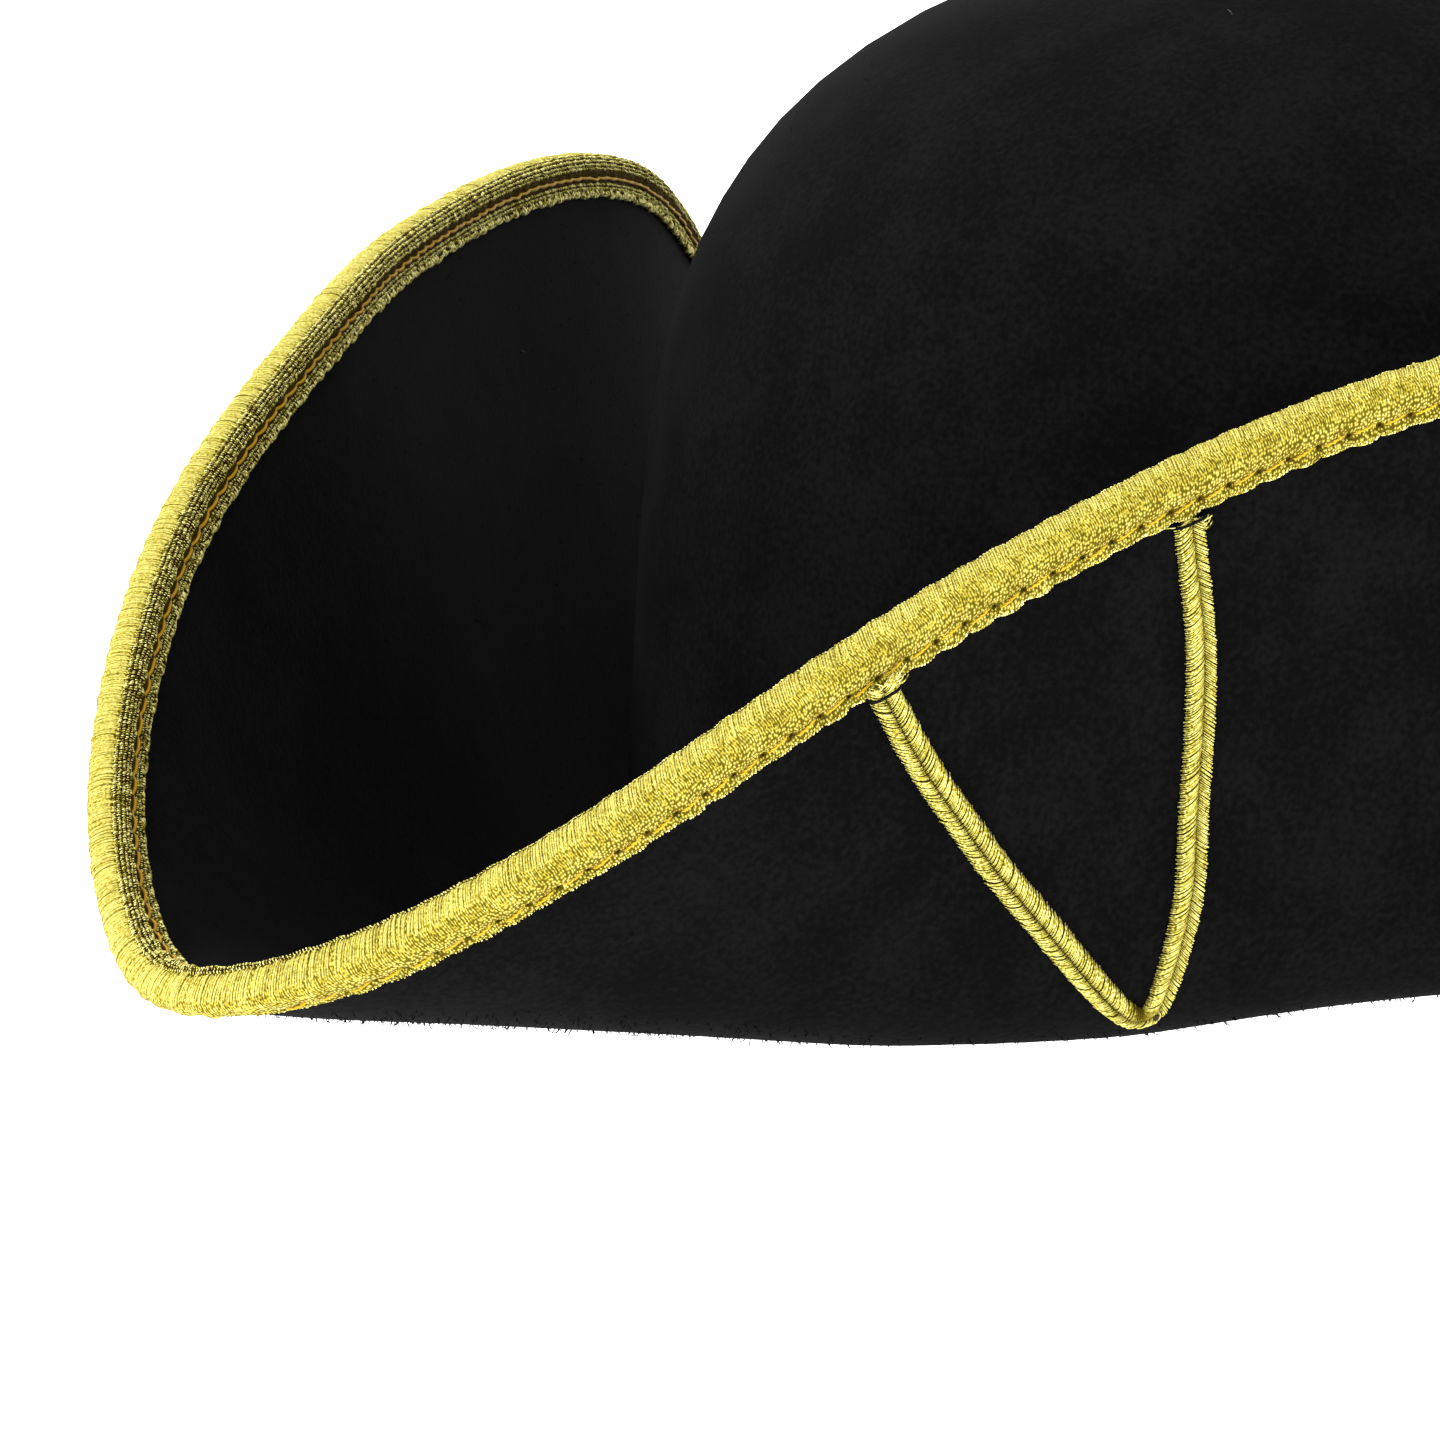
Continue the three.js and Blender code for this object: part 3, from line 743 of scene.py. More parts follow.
# %% [markdown]
# ## Felt hood
#
# The hood is a shell of felt 2.2 mm thick. A sheet with a Solidify modifier would do for an even one, but
# here both skins come from the same formula, at half the thickness to either side, so that the braid can
# sit on them exactly. Rings run from the crown's top down over the outer side, out over the brim to its edge,
# and back under it to the top of the hollow. Round a ring, the mesh's points stand closer towards the three
# points of the hat, where the brim bends sharply.

# %% Felt
half_steps = 80
even = np.arange(half_steps) / half_steps
half_rows = (even + np.sin(even * np.pi / 2)) / 2
flap_rows = []
for flap in range(3):
    toward_middle = angle_on(flap, half_rows[::-1], -1)[:-1]
    flap_rows.append(np.concatenate([toward_middle, angle_on(flap, half_rows, 1)]))
# Each flap's rows stop one short of the point, and the point itself is the next flap's first row.
angles = np.concatenate([[angle_on(flap, 1.0, -1), *rows] for flap, rows in enumerate(flap_rows)])
stations = [("crown", t) for t in np.linspace(0.03, 1, 30)]
stations += [("root", t) for t in np.linspace(0.2, 1, 5)]
stations += [("brim", t) for t in np.linspace(0.02, 1, 62)]
upper = np.stack([skin(angles, part, np.full(angles.shape, t), FELT / 2) for part, t in stations])
under = np.stack([skin(angles, part, np.full(angles.shape, t), -FELT / 2) for part, t in stations])
rings = np.concatenate([upper, under[::-1]])
top = [skin(np.zeros(1), "crown", np.full(1, 0.001), side * FELT / 2)[0] for side in (1, -1)]
felt_points = np.concatenate([rings.reshape(-1, 3), top])
count, size = rings.shape[:2]
felt_faces = grid_faces(count, size, wrap_columns=True)[:, ::-1]
k = np.arange(size)
n = (k + 1) % size
first = np.stack([np.full(size, count * size), k, n], -1)
last = np.stack([np.full(size, count * size + 1), (count - 1) * size + n, (count - 1) * size + k], -1)
felt = make_mesh("felt", felt_points, [felt_faces, np.concatenate([first, last])], FELT_LOOK)
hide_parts("felt_hood")

# %% [markdown]
# ## Nap
#
# Wool felt is hairy. Short black fibres stand off it everywhere and show against the white ground at the
# crown's side and along the bottom. Blender's hair isn't a mesh, and a part in a library should keep its nap
# wherever it goes, so they are thin three-sided tubes with one bend, set at random over the felt's faces in
# proportion to their area.

# %% Nap


def fibres(count, length, radius, top=None):
    """Bent fibres: each leaves along the felt's normal and bends over sideways.

    With a height for `top`, they stand only below it, on the outer half of the turned-up brim.
    """
    corner = felt_points[felt_faces]
    normal = np.cross(corner[:, 2] - corner[:, 0], corner[:, 3] - corner[:, 1])
    area = np.linalg.norm(normal, axis=-1)
    if top is not None:
        outward = np.sum(normal[:, :2] * unit(corner[:, 0, :2]), -1)
        area = area * (corner[:, :, 2].max(1) < top) * (normal[:, 2] < -0.85 * area) * (outward > -0.2 * area)
    chosen = rng.choice(len(area), count, p=area / area.sum())
    a, b = rng.uniform(0, 1, (2, count, 1))
    c = corner[chosen]
    root = (c[:, 0] * (1 - a) + c[:, 1] * a) * (1 - b) + (c[:, 3] * (1 - a) + c[:, 2] * a) * b
    out = unit(normal[chosen])
    sideways = unit(np.cross(out, rng.normal(0, 1, (count, 3))))
    long = (length * rng.lognormal(0, 0.4, count))[:, None]
    first_bend = root + (0.45 * out + 0.35 * sideways) * long
    end = first_bend + (rng.uniform(-0.15, 0.35, (count, 1)) * out + 0.5 * sideways) * long
    path = np.stack([root - 0.05 * out, first_bend, end], 1)
    path[..., 2] = np.maximum(path[..., 2], 0.03)
    thick = radius * rng.uniform(0.7, 1.3, (count, 1)) * np.array([1.2, 1.0, 0.4])
    return tubes(path, np.cross(out, sideways)[:, None], thick, sides=3)


nap_points, nap_faces = fibres(NAP_FIBRES, length=0.62, radius=0.022)
make_mesh("felt_nap", nap_points, nap_faces, NAP_LOOK)
low_points, low_faces = fibres(LOW_NAP_FIBRES, length=0.55, radius=0.055, top=6.0)
make_mesh("felt_nap_low", low_points, low_faces, NAP_LOOK)
lint_points, lint_faces = fibres(LINT_FIBRES, length=0.45, radius=0.022)
make_mesh("lint", lint_points, lint_faces, LINT_LOOK)

# %% [markdown]
# ## Edge binding
#
# A braid is folded over the cut edge and sewn through both legs in one go. A curve with a bevel could carry
# its section, but it would twist at the three points, so the section is set out in the felt's own
# directions instead: a row of stations, each with a distance in from the felt's edge and one off the felt's
# middle. It is swept along the edge in equal steps, and each stitch pulls it into a dent with a pucker
# on either side. The inner leg is a little wider than the outer one, as a folded braid's mostly is.

# %% The braid's section
OUTER_LEG = (
    # inward, off
    (3.82, 1.02),
    (3.98, 1.3),
    (3.98, 1.66),
    (3.76, 1.9),
    (3.42, 1.98),
    (3.12, 1.98),
    (2.92, 1.94),
    (2.72, 1.94),
    (2.5, 2.0),
    (2.1, 2.12),
    (1.6, 2.22),
    (1.0, 2.28),
    (0.4, 2.28),
    (-0.15, 2.14),
    (-0.58, 1.86),
    (-0.88, 1.4),
    (-1.08, 0.76),
    (-1.15, 0.0),
)
INNER_LEG = (
    # inward, off
    (4.16, 1.02),
    (4.3, 1.3),
    (4.28, 1.66),
    (4.05, 1.9),
    (3.7, 1.98),
    (3.3, 1.92),
    (3.0, 1.84),
    (2.8, 1.86),
    (2.5, 1.98),
    (2.1, 2.12),
    (1.6, 2.22),
    (1.0, 2.28),
    (0.4, 2.28),
    (-0.15, 2.14),
    (-0.58, 1.86),
    (-0.88, 1.4),
    (-1.08, 0.76),
)
section = np.array([(inward, -off) for inward, off in OUTER_LEG] + list(INNER_LEG[::-1]))
over = np.concatenate([[0], np.cumsum(np.linalg.norm(np.diff(section, axis=0), axis=-1))])
over -= over[len(OUTER_LEG) - 1]
STITCH_OUTER = float(np.interp(-STITCH_IN, -section[: len(OUTER_LEG), 0], over[: len(OUTER_LEG)]))
STITCH_INNER = float(np.interp(INNER_STITCH_IN, section[len(OUTER_LEG) :, 0], over[len(OUTER_LEG) :]))

LIP_OUTER = float(over[2])
LIP_INNER = float(over[-3])
print("the braid measures", round(LIP_INNER - LIP_OUTER, 1), "mm from lip to lip")

# %% The edge in equal steps
# It starts at the middle of the back flap.
dense = np.linspace(np.pi / 2, 2.5 * np.pi, 14401)
edge = middle(dense, "brim", np.ones(dense.shape))
run = np.concatenate([[0], np.cumsum(np.linalg.norm(np.diff(edge, axis=0), axis=-1))])
EDGE_LENGTH = float(run[-1])
STITCHES = int(round(EDGE_LENGTH / STITCH_PITCH))
PITCH = EDGE_LENGTH / STITCHES
print("edge", round(EDGE_LENGTH), "mm,", STITCHES, "stitches", round(PITCH, 2), "mm apart")


def edge_angle(length):
    """The angle at a length along the edge."""
    return np.interp(np.mod(length, EDGE_LENGTH), run, dense)


def on_edge(length, inward, off):
    """Points on the brim at a length along the edge, a distance in from it and one off the felt's middle.

    A negative distance in goes on past the edge, square to it and to the felt's normal.
    """
    length, inward, off = np.broadcast_arrays(np.asarray(length, float), inward, off)
    angle = edge_angle(length)
    ones = np.ones(angle.shape)
    _, normal, around, outward = place(angle, "brim", ones)
    along = unit(around)
    square = outward - np.sum(outward * along, -1, keepdims=True) * along
    t = 1 - np.maximum(inward, 0) / np.linalg.norm(square, axis=-1)
    p, normal, _, _ = place(angle, "brim", t)
    q = p + normal * (off + swell(p))[..., None]
    q += np.cross(along, normal) * np.maximum(-inward, 0)[..., None]
    q[..., 2] += LIFT
    return q


# %% Puckers and scallops
pucker_size = rng.uniform(0.5, 1.4, STITCHES)
pucker_slip = rng.uniform(-0.2, 0.2, STITCHES)
scallop_size = rng.uniform(0.4, 1.3, STITCHES)


def puckers(length, inward):
    """Rise of the braid between stitches: 1 - cos(2 pi v), leaning with the distance in from the edge."""
    v = length / PITCH + 0.09 * inward
    near = np.mod(np.floor(v).astype(int), STITCHES)
    slip = pucker_slip[near] * np.sin(np.pi * np.mod(v, 1)) ** 2
    return (0.5 - 0.5 * np.cos(2 * np.pi * (v + slip))) * pucker_size[near]


def scallops(length):
    """Reach of the lip between stitches: a sawtooth that swells and then steps back, from 0 to 1."""
    v = length / PITCH
    near = np.mod(np.floor(v).astype(int), STITCHES)
    f = np.mod(v, 1)
    return np.sin(np.pi * f**1.4) * scallop_size[near]


print("the largest pucker is", round(PUCKER_RISE * float(pucker_size.max()), 2), "mm high")

# %% Binding
# A stitch goes down at v = 1/2, so its needle hole lies where the binding's map has a half pitch.
seam = np.where(np.arange(len(section)) < len(OUTER_LEG), STITCH_IN, INNER_STITCH_IN)[None]
BINDING_STEPS = 2700
length = np.arange(BINDING_STEPS) * EDGE_LENGTH / BINDING_STEPS
inward = section[None, :, 0]
at_lip = np.clip((inward - 3.3) / 0.6, 0, 1)
swept_in = inward + at_lip * (0.5 * scallops(length - PITCH / 2)[:, None] - 0.2)
base = on_edge(length[:, None], swept_in, section[None, :, 1])
normal = np.cross(np.gradient(base, axis=1), np.roll(base, -1, 0) - np.roll(base, 1, 0))
normal = unit(normal)
if np.sum(normal[:, len(section) // 2] * (base[:, len(section) // 2] - base[:, 6])) < 0:
    normal = -normal
fullness = 0.55 + 0.6 * np.exp(-((inward - 1.6) ** 2))
bulge = PUCKER_RISE * puckers(length[:, None] - PITCH / 2, inward) * fullness
hole = np.mod(length / PITCH, 1) - 0.5
dent = np.exp(-((hole[:, None] * PITCH / 0.45) ** 2) - ((inward - seam) / 0.5) ** 2)
groove = np.exp(-(((inward - seam) / 0.35) ** 2))
rise = bulge * (1 - 0.7 * groove) - DENT_DEPTH * dent - FURROW_DEPTH * groove - 0.08
rise[:, [0, -1]] = 0
shape = base + normal * rise[..., None]
faces = grid_faces(BINDING_STEPS, len(section), wrap_rows=True, wrap_columns=True)[:, ::-1]
flat_map = np.stack(np.broadcast_arrays(over[None], length[:, None]), -1).reshape(-1, 2)
corner_map = flat_map[faces.ravel()].reshape(-1, 4, 2)
wrapped = np.ptp(corner_map[..., 1], axis=1) > EDGE_LENGTH / 2
corner_map[..., 1] += np.where(wrapped[:, None] & (corner_map[..., 1] < EDGE_LENGTH / 2), EDGE_LENGTH, 0)
# Ribs and dots go a whole number of times round the edge, so that the map closes.
whole_rib = EDGE_LENGTH / round(EDGE_LENGTH / RIB_PITCH)
whole_dot = EDGE_LENGTH / round(EDGE_LENGTH / DOT_PITCH)
BINDING_LOOK = binding_material(whole_rib, whole_dot, PITCH, STITCH_OUTER)
braid_points = shape.reshape(-1, 3)
braid_map = corner_map.reshape(-1, 2)
binding = make_mesh("binding", braid_points, [faces], BINDING_LOOK, uv=braid_map)
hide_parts("edge_binding")

# %% Places on the braid


def on_braid(length, across, off):
    """A point on the binding from the length along the edge and the distance across it from the fold.

    It is linear between the mesh's points, and raised by off. Returns the point and the way out.
    """
    length, across, off = np.broadcast_arrays(np.asarray(length, float), across, off)
    x = np.mod(length, EDGE_LENGTH) / EDGE_LENGTH * BINDING_STEPS
    i = np.floor(x).astype(int)
    f = (x - i)[..., None]
    y = np.interp(across, over, np.arange(len(over)))
    j = np.minimum(np.floor(y).astype(int), len(over) - 2)
    g = (y - j)[..., None]
    after = (i + 1) % BINDING_STEPS
    i = i % BINDING_STEPS

    def blend(grid):
        near = grid[i, j] * (1 - g) + grid[i, j + 1] * g
        far = grid[after, j] * (1 - g) + grid[after, j + 1] * g
        return near * (1 - f) + far * f

    way = unit(blend(normal))
    return blend(shape) + way * off[..., None], way


print("the braid's fold starts at", np.round(on_braid(0.0, 0.0, 0.0)[0], 1), "mm")

# %% [markdown]
# ### Yarns over the fold and round the lips
#
# At the fold the braid's yarns stand apart, so that they serrate the hat's outline, and at both lips they
# turn back in small bright bights. Bump in the material can't change an outline, so each is a short tube
# with a few faces, laid on the swept braid by its place along and across it.

# %% Fold yarns


def fold_yarns(start_share, end_share, name):
    """Slanted yarns over the fold, down to between 1.5 and 2.2 mm on either leg, for a share of the edge.

    Their height falls as w^4 from the fold to the ends, and so does their radius.
    """
    count = int(EDGE_LENGTH * (end_share - start_share) / FOLD_YARN_PITCH)
    w = np.linspace(-1, 1, 8)[None]
    shares = start_share + (end_share - start_share) * (np.arange(count)[:, None] + 0.5) / count
    s = EDGE_LENGTH * shares + 0.55 * w + rng.normal(0, 0.04, (count, 1))
    reach = rng.uniform(1.5, 2.2, (count, 1))
    q, way = on_braid(s, w * reach, 0.02 - 0.1 * w**4 + rng.normal(0, 0.045, (count, 1)))
    p, f = tubes(q, way, 0.12 * (1 - 0.55 * w**4) * rng.uniform(0.85, 1.2, (count, 1)), sides=4)
    make_mesh(name, p, f, YARN_LOOK, uv=yarn_map(w, count, 4))


for third in range(3):
    fold_yarns(third / 3, (third + 1) / 3, f"fold_yarns_{third + 1}")

# %% Bights


def bights(place_over, direction, long, slant, name):
    """Bights on a lip: a short tube across it, bowed off the braid by a half sine wave."""
    count = int(EDGE_LENGTH / BIGHT_PITCH)
    w = np.linspace(0, 1, 4)[None]
    s = (np.arange(count)[:, None] + 0.5) * EDGE_LENGTH / count + slant * (w - 0.5)
    s = s + rng.normal(0, 0.05, (count, 1))
    size = rng.uniform(0.75, 1.25, (count, 1))
    q, way = on_braid(s, place_over + direction * long * w * size, 0.02 + 0.1 * np.sin(np.pi * w) * size)
    p, f = tubes(q, way, 0.1 * np.sin(np.pi * (0.2 + 0.6 * w)) * size, sides=4)
    make_mesh(name, p, f, BIGHT_LOOK, uv=yarn_map(w, count, 4))


bights(LIP_OUTER - 0.42, direction=1, long=0.7, slant=0.22, name="outer_bights")
bights(LIP_INNER + 0.3, direction=-1, long=1.05, slant=0.45, name="inner_bights")

# %% Knitted rows


def knitted_rows(rows, name):
    """Rows of small bright loops of yarn on the inner leg, each a slanted grain about 0.4 mm long."""
    groups, maps = [], []
    for number, at in enumerate(rows):
        count = int(EDGE_LENGTH / KNIT_PITCH)
        w = np.linspace(0, 1, 3)[None]
        s = (np.arange(count)[:, None] + 0.5 * (number % 2)) * EDGE_LENGTH / count - 0.2 * (w - 0.5)
        s = s + rng.normal(0, 0.04, (count, 1))
        size = rng.uniform(0.7, 1.25, (count, 1))
        across = at + rng.normal(0, 0.04, (count, 1)) + 0.36 * (w - 0.5) * size
        q, way = on_braid(s, across, 0.05 + 0.07 * np.sin(np.pi * w) * size)
        groups.append(tubes(q, way, 0.075 * np.sin(np.pi * (0.2 + 0.6 * w)) * size, sides=4))
        maps.append(yarn_map(w, count, 4))
    p, f = together(groups)
    make_mesh(name, p, f, BIGHT_LOOK, uv=np.concatenate(maps))


knitted_rows((1.7, 2.2), "knitted_rows_1")
knitted_rows((2.7, 3.2), "knitted_rows_2")
knitted_rows((3.65, LIP_INNER - 1.55), "knitted_rows_3")
knitted_rows((LIP_INNER - 1.05,), "knitted_rows_4")

# %% [markdown]
# ### Stitches
#
# The legs are sewn together with two threads. The golden one outside is laid in short stitches of two twisted
# strands between the needle holes, and the orange one inside runs on as one wavy line. Both are tubes, since
# a drawn line would neither shine nor throw a shadow.

# %% Outer stitches
w = np.linspace(0, 1, 9)[None]
start = (np.arange(STITCHES)[:, None] + 0.5) * PITCH
s = start + PITCH * (0.12 + 0.76 * w)
weave = 0.4 * (w - 0.5) + rng.normal(0, 0.09, (STITCHES, 1))
strands = []
for half_turn in (0, np.pi):
    twist = 4 * np.pi * w + half_turn
    across = STITCH_OUTER + weave + 0.07 * np.cos(twist)
    q, way = on_braid(s, across, -0.1 + 0.17 * np.sin(np.pi * w) + 0.07 * np.sin(twist))
    strands.append(tubes(q, way, STRAND_RADIUS * (0.6 + 0.4 * np.sin(np.pi * w)) + 0 * s, sides=4))
p, f = together(strands)
make_mesh("outer_stitches", p, f, GOLDEN_THREAD_LOOK)

# %% Inner thread
turns = STITCHES * 8
s = np.arange(turns + 1)[None] * EDGE_LENGTH / turns
drift = np.interp(s / PITCH, np.arange(STITCHES + 1), rng.normal(0, 0.07, STITCHES + 1), period=STITCHES)
wave = 0.05 * np.sin(2 * np.pi * s / PITCH + 0.8) + drift
q, way = on_braid(s, STITCH_INNER + wave, 0.2 + 0.04 * np.cos(2 * np.pi * s / PITCH))
p, f = tubes(q, way, THREAD_RADIUS + 0 * s, sides=6)
make_mesh("inner_thread", p, f, THREAD_LOOK)

# %% [markdown]
# ## Soutache loops
#
# Soutache is a flat braid of two cords that are plaited together with fine metal yarn, so that it has two
# ridges and a groove. A ribbon with a bump would look printed this close, so each loop is two rows of real
# yarns that slant into the groove, over a flat core. Its middle runs down one arm, round a tight turn and up
# the other arm, as shares along the half side and down the flap's face. The outer arm's end climbs over the
# binding's lip, and both ends are sewn down with black thread and fray. The thread is thick and set at the
# lip, so that it also stands for the dark shadow line there.

# %% The loop's course
OUTER_ARM = (
    # along, drop
    (0.5395, -0.026),
    (0.5385, -0.01),
    (0.5265, 0.192),
    (0.5145, 0.318),
    (0.5025, 0.441),
    (0.4915, 0.532),
    (0.4805, 0.62),
    (0.4685, 0.723),
    (0.458, 0.815),
)
FOOT = (
    (0.452, 0.852),
    (0.443, 0.853),
)
INNER_ARM = (
    (0.4345, 0.823),
    (0.4195, 0.727),
    (0.4085, 0.627),
    (0.405, 0.542),
    (0.4018, 0.46),
    (0.398, 0.381),
    (0.3953, 0.301),
    (0.3933, 0.222),
    (0.3935, 0.138),
    (0.3955, 0.0),
)


def cut_corners(path, rounds):
    """Chaikin's corner cutting, with the two ends kept."""
    for _ in range(rounds):
        a, b = path[:-1], path[1:]
        inner = np.stack([0.75 * a + 0.25 * b, 0.25 * a + 0.75 * b], 1).reshape(-1, path.shape[1])
        path = np.concatenate([path[:1], inner, path[-1:]])
    return path


def on_flap(flap, side, along, drop):
    """Angle and brim share from the share along the half side and the share of the way down."""
    angle = angle_on(flap, along, side)
    start = share_in(angle, BINDING_LEG + LOOP_END_GAP)
    end, _ = lowest(angle)
    t = start + (end - start) * np.linspace(0, 1, 60)[:, None]
    p = middle(angle[None], "brim", t)
    strides = np.linalg.norm(np.diff(p, axis=0), axis=-1)
    reach = np.concatenate([np.zeros((1, len(angle))), np.cumsum(strides, 0)])
    want = drop * reach[-1]
    out = [np.interp(w, reach[:, k], t[:, k]) for k, w in enumerate(want)]
    slope = (t[1] - t[0]) / (reach[1] - reach[0])
    return angle, np.where(want < 0, t[0] + want * slope, out)


LOOP_SPACING = 0.12


def loop_frame(flap, side):
    """The loop's middle line on the felt in equal steps, the ways out and across, and where its foot is.

    Its first 2 mm climb by up to 1.15 mm over the binding's lip, as a smooth step.
    """
    path = cut_corners(np.array(OUTER_ARM + FOOT + INNER_ARM), 4)
    angle, t = on_flap(flap, side, path[:, 0], path[:, 1])
    line = skin(angle, "brim", t, -FELT / 2)
    run = np.concatenate([[0], np.cumsum(np.linalg.norm(np.diff(line, axis=0), axis=-1))])
    at = np.arange(0, run[-1], LOOP_SPACING)
    angle = np.interp(at, run, angle)
    t = np.interp(at, run, t)
    line = skin(angle, "brim", t, -FELT / 2)
    _, normal, _, _ = place(angle, "brim", t)
    past = np.clip((at - 0.7) / 1.6, 0, 1)
    climb = 1.15 * (1 - past**2 * (3 - 2 * past))
    line = line - normal * climb[:, None]
    for _ in range(6):
        line[1:-1] = 0.25 * line[:-2] + 0.5 * line[1:-1] + 0.25 * line[2:]
    tangent = unit(np.gradient(line, axis=0))
    across = unit(np.cross(-normal, tangent))
    return at, line, -normal, across, at[np.argmin(line[:, 2])]


def on_loop(loop, s, x, y):
    """A point from the length along the loop, the distance across it and the height off the felt.

    The braid narrows towards the foot by 1.05 - 0.16 exp(-(distance / 9)^2).
    """
    at, line, out, across, foot_at = loop
    waist = 1.05 - 0.16 * np.exp(-(((s - foot_at) / 9) ** 2))
    x, y = x * waist, y * waist
    q = np.stack([np.interp(s, at, line[:, k]) for k in range(3)], -1)
    a = unit(np.stack([np.interp(s, at, across[:, k]) for k in range(3)], -1))
    o = unit(np.stack([np.interp(s, at, out[:, k]) for k in range(3)], -1))
    q = q + a * x[..., None] + o * y[..., None]
    q[..., 2] = np.maximum(q[..., 2], 0.05)
    return q, o


print("a loop's course has", len(cut_corners(np.array(OUTER_ARM + FOOT + INNER_ARM), 4)), "points")

# %% Soutache yarns


def soutache_yarns(loop, name):
    """Two ridges, with the groove a little off the middle, and yarns that lean towards the foot.

    A yarn's height is 0.2 + 0.8 sqrt(1 - (2w - 1)^2), and painted shade darkens it as w^6 into the groove.
    """
    foot_at = loop[4]
    total = loop[0][-1]
    groove = -0.12 * LOOP_WIDTH / 2
    ridges, maps = [], []
    for edge_x in (-LOOP_WIDTH / 2, LOOP_WIDTH / 2):
        width = abs(edge_x - groove)
        count = int(total / YARN_PITCH)
        start = (np.arange(count) + (0.25 if edge_x < 0 else 0.75)) * total / count
        w = np.linspace(0, 1, 7)[None]
        s = start[:, None] + 0.85 * width * (w - 0.5) + rng.normal(0, 0.03, (count, 1))
        ragged = 1 + 0.07 * (np.arange(count)[:, None] % 2)
        x = groove + (edge_x * ragged - groove) * (1 - 1.06 * w)
        round_top = np.sqrt(np.clip(1 - (2 * w - 1) ** 2, 0, 1))
        y = np.maximum(0.2 + 0.8 * round_top, 0.4 * w**2) * rng.uniform(0.84, 1.08, (count, 1))
        x = x * (1 + rng.normal(0, 0.03, (count, 1)))
        q, o = on_loop(loop, np.clip(s, 0, total), np.broadcast_to(x, s.shape), y)
        thick = np.broadcast_to(0.75 + 0.25 * round_top, s.shape)
        ridges.append(tubes(q, o, 0.088 * thick * rng.uniform(0.85, 1.15, (count, 1)), sides=4))
        own_map = yarn_map(w, count, 4).reshape(count, 7, 4, 2)
        # Painted shade: the yarns darken into the groove, and on the ridge at the inside of the foot's turn.
        own_map[..., 1] -= 1.8 * w[..., None] ** 6
        if edge_x > 0:
            turn_shade = 6.0 * np.exp(-(((start[:, None] - foot_at) / 1.7) ** 2)) * (1 - w)
            own_map[..., 1] -= turn_shade[..., None]
        maps.append(own_map.reshape(-1, 2))
    p, f = together(ridges)
    yarns = make_mesh(name + "_yarns", p, f, LOOP_LOOK, uv=np.concatenate(maps))
    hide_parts(name)


# %% Soutache core
CORE_SECTION = np.array(
    [
        # across, up
        (-0.88, 0.02),
        (-0.56, 0.74),
        (-0.12, 0.3),
        (0.44, 0.74),
        (0.88, 0.02),
    ]
)


def soutache_core(loop, name):
    """The section of five points carried along the loop, a millimetre short of both ends; its dark brown is
    painted shade.
    """
    s = loop[0][9:-9:3]
    corners = len(CORE_SECTION)
    grid = (len(s), corners)
    across = np.broadcast_to(CORE_SECTION[:, 0] * LOOP_WIDTH / 2, grid)
    q, _ = on_loop(loop, np.repeat(s[:, None], corners, 1), across, np.broadcast_to(CORE_SECTION[:, 1], grid))
    faces = grid_faces(*grid, wrap_columns=True)[:, ::-1]
    caps = np.array([[2, 3, 4], [1, 2, 4], [0, 1, 4]])
    ends = np.concatenate([caps, (len(s) - 1) * corners + caps[:, ::-1]])
    make_mesh(name + "_core", q.reshape(-1, 3), [faces, ends], GROOVE_SHADE_LOOK)


# %% Frayed ends
FRAYED_STRANDS = 9


def frayed_ends(loop, name):
    """Yarns that start in the braid and run out past its ends, spreading as w^2, with others beside them."""
    at, line = loop[:2]
    total = at[-1]
    tufts, fray_maps = [], []
    many = FRAYED_STRANDS
    w = np.linspace(0, 1, 6)[None]
    for end_s, way, size in ((0.0, -1, 1.0), (total, 1, 0.25)):
        x0 = rng.uniform(-1, 1, (many, 1)) * LOOP_WIDTH * 0.42
        spread = rng.normal(0, 0.7, (many, 1))
        reach = rng.uniform(0.2, 1.1, (many, 1))
        tip = np.stack([np.interp(end_s, at, line[:, k]) for k in range(3)], -1)
        back = np.stack([np.interp(end_s - way * 1.5, at, line[:, k]) for k in range(3)], -1)
        onward = unit(tip - back)
        up = 0.35 + 0.5 * np.sin(np.pi * w) + 0 * x0
        q, o = on_loop(loop, np.full((many, 6), end_s - way * 0.5), x0 + spread * w**2, up)
        q = q + onward * ((reach + 0.3) * size * w)[..., None]
        tufts.append(tubes(q, o, 0.07 * (1 - 0.5 * w) + 0 * x0, sides=4))
        fray_maps.append(yarn_map(w, many, 4))

        s0 = end_s - way * rng.uniform(0.3, 1.7, (many, 1))
        beside = -way * (LOOP_WIDTH * 0.4 + rng.uniform(0.5, 1.5, (many, 1)) * w)
        along = s0 + way * rng.uniform(-0.1, 0.7, (many, 1)) * w
        q, o = on_loop(loop, along, beside, 0.3 + 0.4 * np.sin(np.pi * w) + 0 * s0)
        tufts.append(tubes(q, o, 0.09 * (1 - 0.4 * w) + 0 * s0, sides=4))
        fray_maps.append(yarn_map(w, many, 4))
    p, f = together(tufts)
    make_mesh(name + "_fray", p, f, BIGHT_LOOK, uv=np.concatenate(fray_maps))


# %% Ties and tack


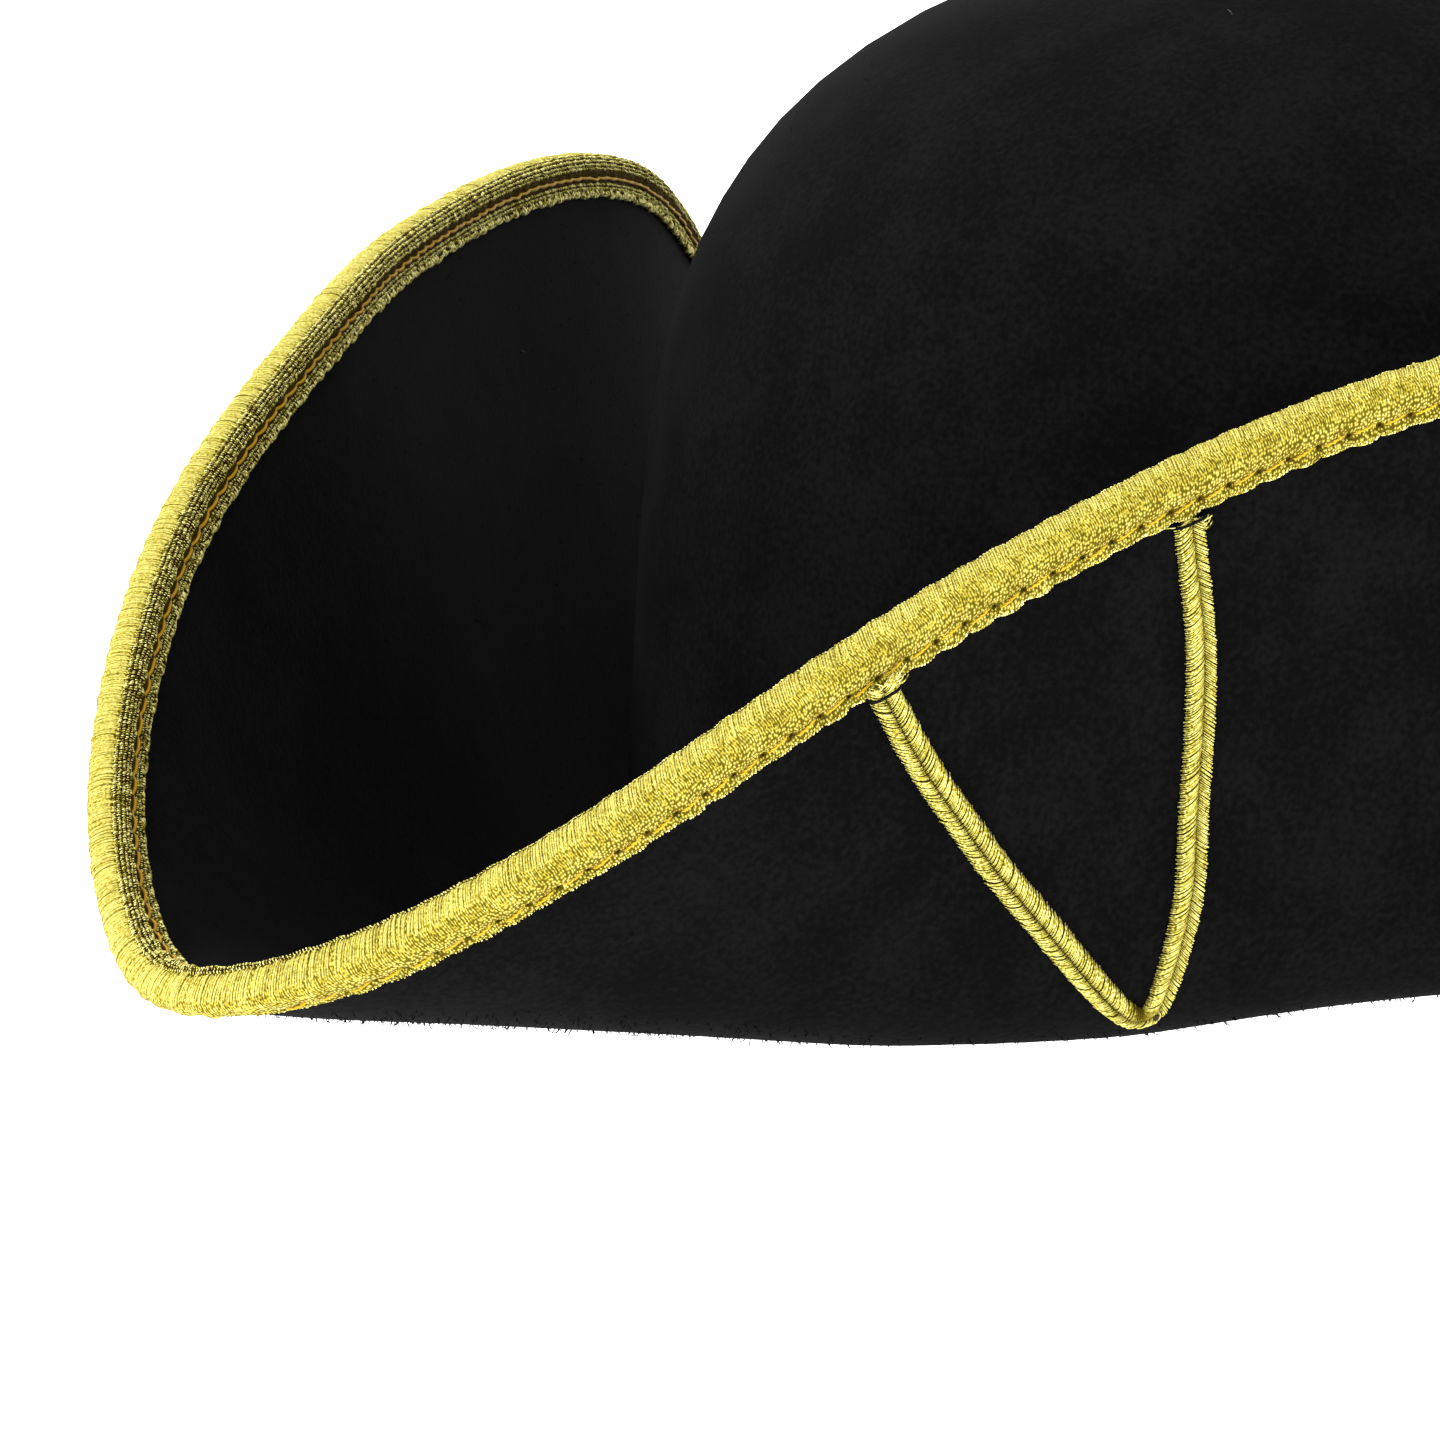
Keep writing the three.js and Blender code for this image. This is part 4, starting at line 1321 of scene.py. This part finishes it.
def ties_shadow_lines_and_tack(loop, name):
    """Black thread over each arm near the lip, thick enough to stand also for the shadow line there, and a
    small grey tack inside the foot's turn.
    """
    foot_at = loop[4]
    total = loop[0][-1]
    w = np.linspace(-1, 1, 13)[None]
    ties_and_shadow_lines = []
    # Both ties are thick and sit at the lip, so that they also stand for the shadow line there.
    for s0, lean in ((1.3, 0.25), (total - 0.25, -0.25)):
        x = w * (LOOP_WIDTH / 2 + 0.35)
        y = 1.3 * np.sqrt(np.clip(1 - np.abs(w) ** 5, 0, 1)) - 0.05
        q, o = on_loop(loop, s0 + lean * w, x, y)
        ties_and_shadow_lines.append(tubes(q, o, TIE_RADIUS + 0 * w, sides=5))
    p, f = together(ties_and_shadow_lines)
    make_mesh(name + "_ties_and_shadow_lines", p, f, TIE_AND_SHADOW_LINE_LOOK)
    w = np.linspace(-1, 1, 7)[None]
    q, o = on_loop(loop, foot_at + 1.6 + 0.3 * w, -LOOP_WIDTH * 0.12 + 0.15 * w, 1.05 + 0.15 * (1 - w**2))
    p, f = tubes(q, o, TIE_RADIUS + 0 * w, sides=5)
    make_mesh(name + "_tack", p, f, TACK_LOOK)


# %% Six loops
for flap, flap_name in enumerate(("left", "back", "right")):
    for side, number in ((-1, 1), (1, 2)):
        loop = loop_frame(flap, side)
        for dress in (soutache_yarns, soutache_core, frayed_ends, ties_shadow_lines_and_tack):
            dress(loop, f"soutache_loop_{flap_name}_{number}")

# %% [markdown]
# ## Floor, light and camera
#
# The photograph was taken on white, as on a table that is lit from below. A floor that glows by itself gives
# the same even ground with only a faint contact shadow, and is simpler than a curved backdrop. The surround
# is white too, and one soft key light comes from the front left. The camera looks at the hat from the
# front right with a long lens, a little above the brim.

# %% Floor
floor_mesh = bpy.data.meshes.new("floor")
reach = 25.0
floor_mesh.from_pydata(
    [(-reach, -reach, 0), (reach, -reach, 0), (reach, reach, 0), (-reach, reach, 0)], [], [(0, 1, 2, 3)]
)
white_floor = plain_material("white_floor", (0.8, 0.8, 0.8), 0.9, specular=0.1)
floor_shader = next(node for node in white_floor.node_tree.nodes if node.type == "BSDF_PRINCIPLED")
floor_shader.inputs["Emission Color"].default_value = (1, 1, 1, 1)
floor_shader.inputs["Emission Strength"].default_value = 2.4
floor_mesh.materials.append(white_floor)
floor = bpy.data.objects.new("floor", floor_mesh)
bpy.context.scene.collection.objects.link(floor)

# %% Light
world = bpy.data.worlds.new("surround")
world.use_nodes = True
world.node_tree.nodes["Background"].inputs["Color"].default_value = (1, 1, 1, 1)
world.node_tree.nodes["Background"].inputs["Strength"].default_value = 1.5
bpy.context.scene.world = world

sun = bpy.data.lights.new("key", "SUN")
sun.energy = 4.4
sun.angle = np.radians(14)
sun_holder = bpy.data.objects.new("key", sun)
light_from = Vector((-0.35, -1.0, 0.95))
sun_holder.rotation_euler = (Vector((0, 0, 0)) - light_from).to_track_quat("-Z", "Y").to_euler()
bpy.context.scene.collection.objects.link(sun_holder)
bpy.context.scene.view_settings.view_transform = "Standard"

# %% Camera
AZIMUTH = np.radians(43.195)
ELEVATION = np.radians(5.557)
back = np.array(
    [np.sin(AZIMUTH) * np.cos(ELEVATION), -np.cos(AZIMUTH) * np.cos(ELEVATION), np.sin(ELEVATION)]
)
right = np.array([np.cos(AZIMUTH), np.sin(AZIMUTH), 0.0])
up = np.cross(back, right)
aim = right * -89.203 + up * 19.54 + np.array([0, RING_Y, 0])
eye = aim + back * 1000.0
camera_data = bpy.data.cameras.new("camera")
camera_data.sensor_width = 36.0
camera_data.lens = 8905.7 / 1440 * 36
camera_data.clip_end = 60.0
camera = bpy.data.objects.new("camera", camera_data)
matrix = Matrix.Identity(4)
for k in range(3):
    matrix[k][0] = right[k]
    matrix[k][1] = up[k]
    matrix[k][2] = back[k]
    matrix[k][3] = eye[k] * 0.001
camera.matrix_world = matrix
bpy.context.scene.collection.objects.link(camera)
bpy.context.scene.camera = camera
